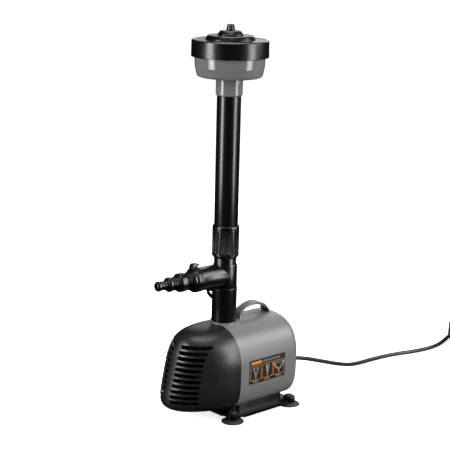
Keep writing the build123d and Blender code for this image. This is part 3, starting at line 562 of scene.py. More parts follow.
def turned(outline, origin, axis=(0, 0, 1), segments=96, bm=None, steps=4):
    """Turns a closed outline of (radius, along, corner radius) points about an axis."""
    bm = bm or bmesh.new()
    stand = Matrix.Translation(origin) @ Vector(axis).to_track_quat("Z", "Y").to_matrix().to_4x4()
    rows = []
    for radius, along in rounded([(*p, 0.0)[:3] for p in outline], steps):
        if radius < 1e-4:
            rows.append([bm.verts.new(stand @ Vector((0, 0, along)))])
            continue
        turns = [2 * math.pi * k / segments for k in range(segments)]
        ring_points = [Vector((radius * math.cos(t), radius * math.sin(t), along)) for t in turns]
        rows.append([bm.verts.new(stand @ point) for point in ring_points])
    for low, high in zip(rows, rows[1:] + rows[:1]):
        if len(low) == len(high) == 1:
            continue
        for i in range(segments):
            j = (i + 1) % segments
            corners = [low[i % len(low)], low[j % len(low)], high[j % len(high)], high[i % len(high)]]
            bm.faces.new(list(dict.fromkeys(corners)))
    return bm


def block(bm, low, high):
    """A plain box, used only to cut with."""
    made = bmesh.ops.create_cube(bm, size=1.0)["verts"]
    centre = [(a + b) / 2 for a, b in zip(low, high)]
    bmesh.ops.scale(bm, vec=[b - a for a, b in zip(low, high)], verts=made)
    bmesh.ops.translate(bm, vec=centre, verts=made)
    return made


def prism(bm, outline, depth):
    """A closed outline of points, pushed along a vector."""
    low = [bm.verts.new(p) for p in outline]
    high = [bm.verts.new(Vector(p) + Vector(depth)) for p in outline]
    bm.faces.new(low)
    bm.faces.new(list(reversed(high)))
    for i in range(len(low)):
        j = (i + 1) % len(low)
        bm.faces.new((low[j], low[i], high[i], high[j]))


def object_of(name, bm, finish=None):
    """An object from a mesh drawn in millimetres."""
    bmesh.ops.recalc_face_normals(bm, faces=bm.faces)
    bmesh.ops.scale(bm, vec=(MM, MM, MM), verts=bm.verts)
    mesh = bpy.data.meshes.new(name)
    bm.to_mesh(mesh)
    bm.free()
    made = bpy.data.objects.new(name, mesh)
    bpy.context.scene.collection.objects.link(made)
    if finish:
        mesh.materials.append(bpy.data.materials[finish])
    return made


def settle(made):
    """Turns an object's modifiers into plain mesh."""
    graph = bpy.context.evaluated_depsgraph_get()
    mesh = bpy.data.meshes.new_from_object(made.evaluated_get(graph))
    made.modifiers.clear()
    old = made.data
    made.data = mesh
    bpy.data.meshes.remove(old)
    return made


def joined_with(made, other, operation):
    """Adds, cuts away or keeps what two closed shapes share."""
    change = made.modifiers.new(operation.lower(), "BOOLEAN")
    change.operation = operation
    change.solver = "EXACT"
    change.object = other
    settle(made)
    bpy.data.objects.remove(other)
    return made


def eased(made, width, segments=2, angle=38.0):
    """Rounds the sharp edges of a settled mesh."""
    ease = made.modifiers.new("eased", "BEVEL")
    ease.width = width * MM
    ease.segments = segments
    ease.limit_method = "ANGLE"
    ease.angle_limit = math.radians(angle)
    ease.miter_outer = "MITER_ARC"
    return settle(made)


def dressed(made, finish, body, *nodes, sharp=32.0):
    """Gives a piece its finish and its body, and hides the plain solids it stands for."""
    mesh = made.data
    mesh.materials.clear()
    mesh.materials.append(bpy.data.materials[finish])
    mesh.polygons.foreach_set("material_index", [0] * len(mesh.polygons))
    mesh.polygons.foreach_set("use_smooth", [True] * len(mesh.polygons))
    mesh.set_sharp_from_angle(angle=math.radians(sharp))
    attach(made, body)
    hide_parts(*nodes)
    return made


def softened(node, finish, body, width=0.4, segments=2):
    """A finer copy of a plain solid, with its edges rounded."""
    bm = bmesh.new()
    bm.from_mesh(frame["nodes"][node].data)
    bmesh.ops.remove_doubles(bm, verts=bm.verts, dist=1e-6)
    bmesh.ops.dissolve_limit(bm, angle_limit=math.radians(0.6), verts=bm.verts, edges=bm.edges)
    mesh = bpy.data.meshes.new(node + "_fine")
    bm.to_mesh(mesh)
    bm.free()
    made = bpy.data.objects.new(node + "_fine", mesh)
    bpy.context.scene.collection.objects.link(made)
    return dressed(eased(made, width, segments), finish, body, node)


# ---- repeated features ----
def repeat_tree(name, carve, bowed=False):
    """Sets a part out in even steps and turns, and cuts it from the piece or adds it."""
    tree = bpy.data.node_groups.new(name, "GeometryNodeTree")
    tree.interface.new_socket("Geometry", in_out="INPUT", socket_type="NodeSocketGeometry")
    tree.interface.new_socket("Part", in_out="INPUT", socket_type="NodeSocketObject")
    tree.interface.new_socket("Count", in_out="INPUT", socket_type="NodeSocketInt")
    tree.interface.new_socket("Start", in_out="INPUT", socket_type="NodeSocketVector")
    tree.interface.new_socket("Step", in_out="INPUT", socket_type="NodeSocketVector")
    tree.interface.new_socket("Turn", in_out="INPUT", socket_type="NodeSocketFloat")
    tree.interface.new_socket("Bow Length", in_out="INPUT", socket_type="NodeSocketFloat")
    tree.interface.new_socket("Bow Width", in_out="INPUT", socket_type="NodeSocketFloat")
    tree.interface.new_socket("Finish", in_out="INPUT", socket_type="NodeSocketMaterial")
    tree.interface.new_socket("Geometry", in_out="OUTPUT", socket_type="NodeSocketGeometry")
    net = Net(tree)
    source = tree.nodes.new("NodeGroupInput")
    given = {socket.name: Wire(net, socket) for socket in source.outputs if socket.name}
    sockets = {"Count": given["Count"], "Start Location": given["Start"], "Offset": given["Step"]}
    line = net.node("GeometryNodeMeshLine", {"mode": "OFFSET"}, sockets)
    if bowed:
        x, y, z = net.node("GeometryNodeInputPosition").parts()
        share = y * 2.0 / given["Bow Width"]
        back = given["Bow Length"] * (1.0 - (1.0 - share * share) ** 0.5)
        moved = net.node("ShaderNodeCombineXYZ", {}, {0: x + back, 1: y, 2: z})
        line = net.node("GeometryNodeSetPosition", {}, {"Geometry": line, "Position": moved})
    angle = net.node("GeometryNodeInputIndex") * given["Turn"]
    spin = net.node("ShaderNodeCombineXYZ", {}, {2: angle})
    part = net.node("GeometryNodeObjectInfo", {"transform_space": "ORIGINAL"}, {"Object": given["Part"]}, 4)
    copies = net.node("GeometryNodeInstanceOnPoints", {},
        {"Points": line, "Instance": part, "Rotation": spin})
    plain = net.node("GeometryNodeRealizeInstances", {}, {"Geometry": copies})
    if carve:
        settings = {"operation": "DIFFERENCE", "solver": "EXACT"}
        shape = net.node("GeometryNodeMeshBoolean", settings, {0: given["Geometry"], 1: plain})
    else:
        join = tree.nodes.new("GeometryNodeJoinGeometry")
        tree.links.new(plain.socket, join.inputs[0])
        tree.links.new(given["Geometry"].socket, join.inputs[0])
        shape = Wire(net, join.outputs[0])
    shape = net.node("GeometryNodeSetMaterial", {}, {"Geometry": shape, "Material": given["Finish"]})
    sink = tree.nodes.new("NodeGroupOutput")
    tree.links.new(shape.socket, sink.inputs[0])
    return tree


def repeated(made, part, finish, tree, **values):
    """Runs a repeat tree on a piece with a part in millimetres, and settles the result."""
    change = made.modifiers.new("repeat", "NODES")
    change.node_group = bpy.data.node_groups[tree]
    listed = change.node_group.interface.items_tree
    inputs = {item.name: item.identifier for item in listed if item.in_out == "INPUT"}
    change[inputs["Part"]] = part
    change[inputs["Finish"]] = bpy.data.materials[finish]
    for key, value in values.items():
        change[inputs[key.replace("_", " ")]] = value
    settle(made)
    bpy.data.objects.remove(part)
    return made


def lengths(*millimetres):
    """Metres from millimetres."""
    return [value * MM for value in millimetres]


# ---- stage, camera and lights ----
def soft_box(name, place, aim, wide, high, watts, spread=180.0):
    """A rectangular soft light that faces a point."""
    light = bpy.data.lights.new(name, "AREA")
    light.shape = "RECTANGLE"
    light.size = wide
    light.size_y = high
    light.energy = watts
    light.spread = math.radians(spread)
    made = bpy.data.objects.new(name, light)
    made.location = place
    made.rotation_euler = (Vector(aim) - Vector(place)).to_track_quat("-Z", "Y").to_euler()
    bpy.context.scene.collection.objects.link(made)
    return made


def around(degrees, reach, height):
    """A place at an angle from the camera's own side of the riser, seen from above."""
    heading = math.radians(227.05 + degrees)
    return Vector((-0.0345 + reach * math.cos(heading), reach * math.sin(heading), height))


class PUMP_OT_stage(bpy.types.Operator):
    """Pale floor, soft lights and the camera"""

    bl_idname = "pump.stage"
    bl_label = "Stage"

    def execute(self, context):
        scene = context.scene
        scene.view_settings.view_transform = "Standard"
        make_finishes()
        floor = bmesh.new()
        bmesh.ops.create_circle(floor, cap_ends=True, segments=96, radius=6000.0)
        bmesh.ops.translate(floor, vec=(0, 0, -0.2), verts=floor.verts)
        pale = Finish("pale_floor")
        pale.set(Base_Color=pale.mix(pale.noise(4.0), (0.9, 0.9, 0.9), (0.94, 0.94, 0.94)), Roughness=0.9)
        pale.set(Specular_IOR_Level=0.0, Emission_Color=(1.0, 1.0, 1.0), Emission_Strength=0.72)
        stage = object_of("floor", floor, "pale_floor")
        stage.visible_glossy = False
        stage.visible_diffuse = False

        world = bpy.data.worlds.new("studio")
        world.use_nodes = True
        sky = Net(world.node_tree)
        seen = sky.node("ShaderNodeLightPath", out=0)
        back = world.node_tree.nodes["Background"]
        sky.feed(back.inputs[0], (1.0, 1.0, 1.0))
        sky.feed(back.inputs[1], seen * 0.7 + 0.36)
        world.cycles_visibility.glossy = False
        scene.world = world

        pump = (-0.0345, 0.0, 0.28)
        soft_box("strip_left", around(-60, 1.5, 0.7), (-0.0345, 0, 0.7), 0.5, 1.5, 32.0)
        soft_box("strip_right", around(68, 1.5, 0.7), (-0.0345, 0, 0.7), 0.5, 1.5, 24.0)
        soft_box("shoulder", around(92, 1.4, 1.0), pump, 0.7, 0.9, 13.0)
        soft_box("top", (-0.05, 0.05, 1.7), (-0.03, 0, 0), 1.0, 1.0, 20.0)
        soft_box("back_panel", around(180, 1.6, 0.7), (-0.0345, 0, 0.5), 0.6, 1.0, 1.5)
        soft_box("rear_rim", around(165, 1.6, 1.1), pump, 0.8, 0.5, 3.0)

        camera = bpy.data.objects.new("camera", bpy.data.cameras.new("camera"))
        camera.data.lens = 104.6
        camera.data.sensor_width = 36.0
        camera.data.clip_end = 40.0
        turn, dip, roll = math.radians(-42.11), math.radians(13.37), math.radians(1.38)
        right = Vector((math.cos(turn), math.sin(turn), 0))
        ahead = Vector((-math.sin(turn), math.cos(turn), 0))
        forward = ahead * math.cos(dip) - Vector((0, 0, math.sin(dip)))
        up = ahead * math.sin(dip) + Vector((0, 0, math.cos(dip)))
        side = right * math.cos(roll) + up * math.sin(roll)
        top = up * math.cos(roll) - right * math.sin(roll)
        camera_stand = Matrix.Translation((-1.2444, -1.3365, 0.70465))
        camera_turn = Matrix((side, top, -forward)).transposed().to_4x4()
        camera.matrix_world = camera_stand @ camera_turn
        scene.collection.objects.link(camera)
        scene.camera = camera

        repeat_tree("cut_in_steps", carve=True)
        repeat_tree("cut_in_bow", carve=True, bowed=True)
        repeat_tree("add_in_steps", carve=False)
        return {"FINISHED"}


# ---- cord ----
COIL_X, COIL_Y = 530.0, -62.0
COIL_MIDDLE = 58.5
COIL_LOW = 5.1
COIL_PITCH = 6.55
PLUG_BACK = Vector((464.09, -134.77, 18.5))
PLUG_AXIS = Vector((-math.cos(math.radians(6)), -math.sin(math.radians(6)), 0))


def coil_cells():
    """The column and row of each turn: along the bottom, then up and down the columns."""
    cells = [(column, 0) for column in (4, 3, 2, 1, 0)]
    cells += [(0, row) for row in (1, 2, 3, 4)]
    cells += [(1, row) for row in (4, 3, 2, 1)]
    cells += [(2, row) for row in (1, 2, 3, 4)]
    cells += [(3, row) for row in (4, 3, 2, 1)]
    cells += [(4, row) for row in (1, 2, 3, 4)]
    return cells


def coil_points(steps=24):
    """Points round the coil from where the cord meets it to where it leaves."""
    points = []
    cells = coil_cells()
    last_turn = 200.0
    for number, cell in enumerate(cells):
        after = cells[number + 1] if number + 1 < len(cells) else cell
        for step in range(steps):
            turned_by = 360.0 * step / steps
            if number + 1 == len(cells) and turned_by > last_turn:
                break
            inward = min(1.0, max(0.0, (turned_by - 300.0) / 30.0))
            upward = min(1.0, max(0.0, (turned_by - 330.0) / 30.0))
            column = cell[0] + (after[0] - cell[0]) * inward
            row = cell[1] + (after[1] - cell[1]) * upward
            a = math.radians(110.0 - turned_by)
            reach = COIL_MIDDLE + (column - 2) * COIL_PITCH
            reach /= 1.0 - 0.25 * (1.0 - math.cos(2 * math.pi / steps))
            points.append((COIL_X + reach * math.cos(a), COIL_Y + reach * math.sin(a),
                COIL_LOW + row * COIL_PITCH))
    return points


class PUMP_OT_cord(bpy.types.Operator):
    """Mains cord: along the floor from the gland into its coil, and out to the plug"""

    bl_idname = "pump.cord"
    bl_label = "Cord"

    def execute(self, context):
        s = sizes()
        route = [
            (99, 0, 47), (112, 0, 47), (139, -1, 40), (172, -2.5, 29), (208, -2, 16.5), (246, 0.5, 5.6),
            (294, 4, 3.6), (345, -1, 3.5), (391, -16, 3.7), (434.3, -21.2, 5.1), (471.8, -7.5, 5.1),
        ]
        route += coil_points()
        route += [(505.0, -133.3, 30.6), (490.0, -133.4, 26.4), (477.0, -133.6, 20.0), tuple(PLUG_BACK)]
        line = bpy.data.curves.new("cord", "CURVE")
        line.dimensions = "3D"
        spline = line.splines.new("NURBS")
        spline.points.add(len(route) - 1)
        for point, place in zip(spline.points, route):
            point.co = (*lengths(*place), 1.0)
        spline.order_u = 3
        spline.use_endpoint_u = True
        spline.resolution_u = 4
        line.bevel_depth = s.cord * MM
        line.bevel_resolution = 4
        line.use_fill_caps = True
        line.materials.append(bpy.data.materials["cord_rubber"])
        made = bpy.data.objects.new("mains_cord", line)
        context.scene.collection.objects.link(made)
        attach(made, "root")
        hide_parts("cord", "cord_coil", "plug_lead")
        body = self.plug()
        ties = self.ties()
        return {"FINISHED"}

    def plug(self):
        """The plug's body with finger grooves, and its two pins."""
        outline = [(0, 0), (4.6, 0, 0.8), (6.2, 1.5, 0.8)]
        for groove in range(6):
            along = 3.5 + 4.2 * groove
            reach = 6.4 + 0.235 * (along - 1.0)
            outline += [(reach, along, 0.5), (reach - 0.8, along + 1.0, 0.4),
                (reach - 0.7, along + 2.4, 0.4), (reach + 0.6, along + 3.2, 0.5)]
        outline += [(12.9, 31.0, 2.0), (17.6, 34.6, 1.8), (18.5, 37.5, 1.5), (18.5, 50.6, 1.4),
            (17.0, 52.0, 0.6)]
        outline += [(15.6, 52.0, 0.4), (15.4, 51.0, 0.3), (0, 51.0)]
        body = object_of("plug_shell", turned(outline, PLUG_BACK, PLUG_AXIS, 64))
        dressed(body, "plug_black", "root", "plug_body")
        pins = bmesh.new()
        across = Vector((0, 0, 1)).cross(PLUG_AXIS)
        for side in (-1, 1):
            foot = PLUG_BACK + across * (side * 9.5)
            shape = [(0, 50.9), (2.4, 50.9), (2.4, 71.0, 1.6), (0, 71.0)]
            turned(shape, foot, PLUG_AXIS, 32, pins)
        metal_pins = dressed(object_of("plug_contacts", pins), "plug_metal", "root", "plug_pins")
        return [body, metal_pins]

    def ties(self):
        """Two straps round the coil's turns."""
        made = []
        for number, angle in enumerate((20.0, 200.0), 1):
            turn = math.radians(angle)
            out = Vector((math.cos(turn), math.sin(turn), 0))
            along = Vector((-math.sin(turn), math.cos(turn), 0))
            centre = Vector((COIL_X, COIL_Y, 18.2)) + out * COIL_MIDDLE
            bm = bmesh.new()
            rings = []
            for reach in (16.9, 17.9):
                loop = rounded([(reach, reach, 4.5), (-reach, reach, 4.5), (-reach, -reach, 4.5),
                    (reach, -reach, 4.5)], 6)
                rings.append([centre + out * p.x + Vector((0, 0, p.y)) for p in loop])
            inner, outer = rings
            sections = []
            for a, b in zip(inner, outer):
                bow = (b - a).normalized() * 0.25
                sections.append([a - along * 4.5, b - along * 4.5, b + bow, b + along * 4.5, a + along * 4.5])
            skin_loop(bm, sections)
            tab = centre + out * 3.0 + Vector((0, 0, 17.9))
            corners = [tab + out * x + along * y for x, y in ((-7, -4.4), (7, -4.4), (7, 4.4), (-7, 4.4))]
            prism(bm, corners, (0, 0, 0.9))
            strap = object_of(f"coil_strap_{number}", bm)
            made.append(dressed(strap, "tie_black", "root", f"cord_tie_{number}"))
        return made


def skin_loop(bm, sections):
    """Faces round a closed chain of sections that all have the same number of points."""
    rows = [[bm.verts.new(p) for p in section] for section in sections]
    for low, high in zip(rows, rows[1:] + rows[:1]):
        for i in range(len(low)):
            j = (i + 1) % len(low)
            bm.faces.new((low[i], low[j], high[j], high[i]))


# ---- body ----
class PUMP_OT_casing(bpy.types.Operator):
    """Motor casing: a rounded shell with the riser's seat and the carrying handle"""

    bl_idname = "pump.casing"
    bl_label = "Motor casing"

    def execute(self, context):
        s = sizes()
        bm = bmesh.new()
        skin(bm, casing_rings(s, s.casing_front, s.casing_rear, 0.0, s.casing_round))
        shell = object_of("casing_shell", bm)
        seat = [(0, 124), (20, 124), (20, 136, 0.8), (0, 136)]
        joined_with(shell, object_of("seat", turned(seat, (s.riser_x, 0, 0))), "UNION")
        joined_with(shell, self.handle(), "UNION")
        bm = bmesh.new()
        wall = s.shell_wall
        skin(bm, casing_rings(s, s.casing_front - 2, s.casing_rear - wall, wall, s.casing_round - wall))
        seat_block = [(0, 123), (21, 123), (21, 140), (0, 140)]
        hollow = object_of("hollow", bm)
        joined_with(hollow, object_of("seat_block", turned(seat_block, (s.riser_x, 0, 0))), "DIFFERENCE")
        gland = [(0, 62), (6.0, 62), (6.0, 72), (0, 72)]
        joined_with(hollow, object_of("gland_hole", turned(gland, (0, 0, 47), (1, 0, 0), 32)), "UNION")
        joined_with(shell, hollow, "DIFFERENCE")
        bore = [(0, 120), (18.3, 120), (18.3, 140), (0, 140)]
        joined_with(shell, object_of("bore", turned(bore, (s.riser_x, 0, 0))), "DIFFERENCE")
        eased(shell, 0.5, 2, 50)
        dressed(shell, "casing_grey", "root", "motor_casing")
        # Painted shade: a black sleeve on the handle's rear post, where the strap shadows it.
        self.handle_socket()
        self.label(s)
        return {"FINISHED"}

    def handle(self):
        """A strap bent over an arch, wider and thicker where it grows out of the casing."""
        outer = smooth_line([(-8.1, 125.6), (-8.1, 143.0), (16.4, 154.0), (40.0, 148.6), (55.1, 129.6),
            (55.1, 125.6)], 16)
        inner = smooth_line([(-3.9, 125.6), (-3.9, 143.0), (16.4, 149.8), (40.0, 144.4), (50.9, 129.6),
            (50.9, 125.6)], 16)
        rings = []
        for a, b in zip(even_points(outer, 49), even_points(inner, 49)):
            root = max(0.0, (139.5 - min(a.z, b.z)) / 6.0)
            flare = min(root, 1.2) ** 2
            a, b = a + (a - b) * (0.28 * flare), b + (b - a) * (0.28 * flare)
            half = 7.5 + 1.6 * flare
            middle, up = (a + b) / 2, (a - b) / 2
            deep = up.length
            corner = rounded([(half, deep, 1.4), (-half, deep, 1.4), (-half, -deep, 1.4),
                (half, -deep, 1.4)], 4)
            across = Vector((0, 1, 0))
            rings.append([middle + across * p.x + up * (p.y / deep) for p in corner])
        bm = bmesh.new()
        skin(bm, rings)
        return object_of("handle", bm)

    def handle_socket(self):
        """A black sleeve round the sides and the inner face of the handle's rear post: painted shade,
        standing for the strap's shadow on the post.
        """
        outer = smooth_line([(40.0, 148.6), (55.1, 129.6), (55.1, 126.0)], 16)
        inner = smooth_line([(40.0, 144.4), (50.9, 129.6), (50.9, 126.0)], 16)
        rings = []
        for a, b in zip(even_points(outer, 25)[8:22], even_points(inner, 25)[8:22]):
            middle, up = (a * 0.8 + b * 1.2) / 2, (a - b) * 0.5
            corner = rounded([(8.0, 1.0, 0.4), (-8.0, 1.0, 0.4), (-8.0, -1.0, 0.4), (8.0, -1.0, 0.4)], 3)
            rings.append([middle + Vector((0, p.x, 0)) + up * p.y for p in corner])
        bm = bmesh.new()
        skin(bm, rings)
        dressed(object_of("handle_socket", bm), "cover_black", "root")

    def label(self, s):
        """A thin printed plate that follows the casing's side."""
        ring = [p for p in body_ring(s, 0.0, -0.4, 120) if p.y < 0 and 52.5 <= p.z <= 87.5]
        back = [p for p in body_ring(s, 0.0, -0.05, 120) if p.y < 0 and 52.5 <= p.z <= 87.5]
        count = min(len(ring), len(back))
        front_side = even_points(sorted(ring, key=lambda p: p.z), count)
        back_side = even_points(sorted(back, key=lambda p: p.z), count)
        for line in (front_side, back_side):
            line[0].z, line[-1].z = 52.5, 87.5
        section = front_side + list(reversed(back_side))
        bm = bmesh.new()
        skin(bm, [[p + Vector((x, 0, 0)) for p in section] for x in (-34.0, -33.0, 0.0, 35.0, 36.0)])
        dressed(object_of("label", bm), "label_print", "root", "label_plate", sharp=50)


def smooth_line(points, steps):
    """A smooth line in the XZ plane through points."""
    out = []
    ends = [points[0], *points, points[-1]]
    for before, start, end, after in zip(ends, ends[1:], ends[2:], ends[3:]):
        for step in range(steps):
            t = step / steps
            place = []
            for a, b, c, d in zip(before, start, end, after):
                curve = (2 * a - 5 * b + 4 * c - d) * t * t + (3 * b - a - 3 * c + d) * t * t * t
                place.append(b + 0.5 * ((c - a) * t + curve))
            out.append(Vector((place[0], 0, place[1])))
    out.append(Vector((points[-1][0], 0, points[-1][1])))
    return out


class PUMP_OT_cover(bpy.types.Operator):
    """Strainer cover: a rounded nose with rows of intake slots"""

    bl_idname = "pump.cover"
    bl_label = "Strainer cover"

    def execute(self, context):
        s = sizes()
        bm = bmesh.new()
        skin(bm, nose_rings(s, 0.0, s.casing_front - 0.3))
        cover = object_of("cover_shell", bm)
        bm = bmesh.new()
        skin(bm, nose_rings(s, s.shell_wall, s.casing_front + 5.0))
        inside = object_of("inside", bm)
        stay = bmesh.new()
        for side in (-1, 1):
            block(stay, (-145.0, side * 15 - 1.0, 20.0), (-77.0, side * 15 + 1.0, 128.0))
        stays = object_of("stays", stay)
        core = bmesh.new()
        skin(core, nose_rings(s, s.shell_wall + 6.0, s.casing_front + 5.0))
        joined_with(stays, object_of("core", core), "DIFFERENCE")
        joined_with(inside, stays, "DIFFERENCE")
        seat = [(0, 95), (20.5, 95), (20.5, 141), (0, 141)]
        joined_with(cover, object_of("seat_room", turned(seat, (s.riser_x, 0, 0))), "DIFFERENCE")
        joined_with(cover, inside, "DIFFERENCE")
        joined_with(cover, self.lip(s), "UNION")
        slot = bmesh.new()
        for side in (-1, 1):
            ends = s.slot_inner, s.slot_outer
            half = s.slot_height / 2
            corners = [(ends[0], -half, 1.9), (ends[1], -half, 1.9), (ends[1], half, 1.9),
                (ends[0], half, 1.9)]
            outline = [(-146.0, side * p.x, p.y) for p in rounded(corners, 6)]
            prism(slot, outline, (s.nose_length, 0, 0))
        tools = object_of("slot", slot)
        repeated(
            cover, tools, "cover_black", "cut_in_steps", Count=11, Start=lengths(0, 0, s.slot_first),
            Step=lengths(0, 0, s.slot_pitch),
        )
        notch = bmesh.new()
        block(notch, (-142.0, -1.6, 8.8), (-112.4, 1.6, 24.0))
        repeated(
            cover, object_of("notch", notch), "cover_black", "cut_in_bow", Count=9, Start=lengths(0, -28, 0),
            Step=lengths(0, 7, 0), Bow_Length=s.nose_length * MM, Bow_Width=s.body_width * MM,
        )
        eased(cover, 0.95, 3, 40)
        dressed(cover, "cover_black", "cover", "strainer_cover", sharp=35)
        return {"FINISHED"}

    def lip(self, s):
        """The lip that slides into the casing."""
        bm = bmesh.new()
        front, back, wall = s.casing_front - 3.0, s.casing_front + 5.0, s.shell_wall
        shelf = ((front, 1.2), (s.casing_front - 0.8, 1.2), (s.casing_front - 0.8, wall + 0.3),
            (back, wall + 0.3), (back, wall + 2.1), (front, wall + 2.1))
        rings = [body_ring(s, x, inset) for x, inset in shelf]
        sections = [list(points) for points in zip(*rings)]
        skin_loop(bm, sections)
        return object_of("lip", bm)


class PUMP_OT_base(bpy.types.Operator):
    """Base plate, its pedestal and the four suction cups"""

    bl_idname = "pump.base"
    bl_label = "Base and feet"

    def execute(self, context):
        s = sizes()
        softened("base", "base_black", "root", 0.7, 3)
        bm = bmesh.new()
        r = s.cup
        outline = [
            (0, 2.6), (0.5 * r, 1.9, 2), (r - 1.5, 0.0, 0.3), (r, 0.0, 0.3), (r, 1.0, 0.4),
            (0.9 * r, 1.7, 0.5),
            (0.84 * r, 1.9, 0.4), (0.8 * r, 2.5, 0.6), (0.62 * r, 3.4, 2), (6.0, 4.6, 2), (4.0, 4.9),
            (4.0, 12.2),
            (6.4, 12.2, 0.5), (6.4, 13.0, 0.4), (5.9, 13.2, 0.2), (6.2, 13.7, 0.4), (4.6, 15.0, 1.0),
            (2.4, 15.0, 0.3),
            (1.6, 14.5, 0.3), (0, 14.5),
        ]
        turned(outline, (-56.0, -48.0, 0.0), segments=64, bm=bm)
        for k in range(12):
            t = 2 * math.pi * k / 12
            rib = bmesh.ops.create_cube(bm, size=1.0)["verts"]
            bmesh.ops.scale(bm, vec=(1.2, 0.9, 1.7), verts=rib)
            rib_x, rib_y = -56.0 + 6.15 * math.cos(t), -48.0 + 6.15 * math.sin(t)
            spot = Matrix.Translation((rib_x, rib_y, 13.2)) @ Matrix.Rotation(t, 4, "Z")
            bmesh.ops.transform(bm, matrix=spot, verts=rib)
        foot = object_of("foot", bm)
        holder = object_of("suction_feet", bmesh.new())
        row = object_of("foot_row", bmesh.new())
        repeated(row, foot, "cup_rubber", "add_in_steps", Count=2, Start=lengths(0, 0, 0),
            Step=lengths(112, 0, 0))
        repeated(holder, row, "cup_rubber", "add_in_steps", Count=2, Start=lengths(0, 0, 0),
            Step=lengths(0, 96, 0))
        dressed(holder, "cup_rubber", "root", *[f"suction_cup_{n}" for n in (1, 2, 3, 4)])
        return {"FINISHED"}


class PUMP_OT_riser(bpy.types.Operator):
    """Lower tube, tee with its side outlet, union collar and telescopic pipe"""

    bl_idname = "pump.riser"
    bl_label = "Riser"

    def execute(self, context):
        s = sizes()
        at = (s.riser_x, 0, 0)
        r = s.lower_tube
        tube = [
            (15.0, 112, 0.4), (r, 112, 0.6), (r, 181.6, 0.2), (r + 0.25, 182.0, 0.2), (r + 0.25, 185.2, 0.3),
            (r - 0.2, 186.0, 0.4), (15.0, 186.0, 0.4),
        ]
        dressed(object_of("lower_pipe", turned(tube, at)), "riser_black", "root", "lower_tube")
        softened("tube_latch", "fitting_black", "root", 0.5, 3)
        softened("tee", "fitting_black", "tee", 0.45, 3)
        pipe = [(14.5, 240.3, 0.3), (s.pipe, 240.3, 0.6), (s.pipe, 471.3, 0.6), (14.5, 471.3, 0.3)]
        dressed(object_of("telescopic_tube", turned(pipe, at, segments=128)), "riser_black", "riser",
            "telescopic_pipe")
        c = s.collar
        collar = [
            (17.05, 277, 0.3), (17.05, 240.1), (16.05, 239.9), (16.05, 230, 0.3), (c - 2.2, 230, 0.5),
            (c, 233, 0.9),
            (c, 235.0, 0.2), (c - 0.3, 235.3, 0.2), (c, 235.7, 0.2), (c, 271.4, 0.2), (c - 0.3, 271.8, 0.2),
            (c, 272.2, 0.2), (c, 274.5, 0.9), (c - 0.9, 276.3, 0.4), (c - 1.9, 277, 0.4),
        ]
        ring = object_of("collar_ring", turned(collar, at, segments=144))
        groove = [(0, 236.6), (2.0, 237.4, 0.5), (2.0, 269.8, 0.5), (0, 270.6)]
        cutter = object_of("groove", turned(groove, (c + 2.0 - 0.8, 0, 0), segments=24))
        repeated(
            ring, cutter, "fitting_black", "cut_in_steps", Count=24, Start=lengths(s.riser_x, 0, 0),
            Step=lengths(0, 0, 0), Turn=2 * math.pi / 24,
        )
        eased(ring, 0.25, 2, 30)
        dressed(ring, "fitting_black", "collar", "union_collar")
        return {"FINISHED"}


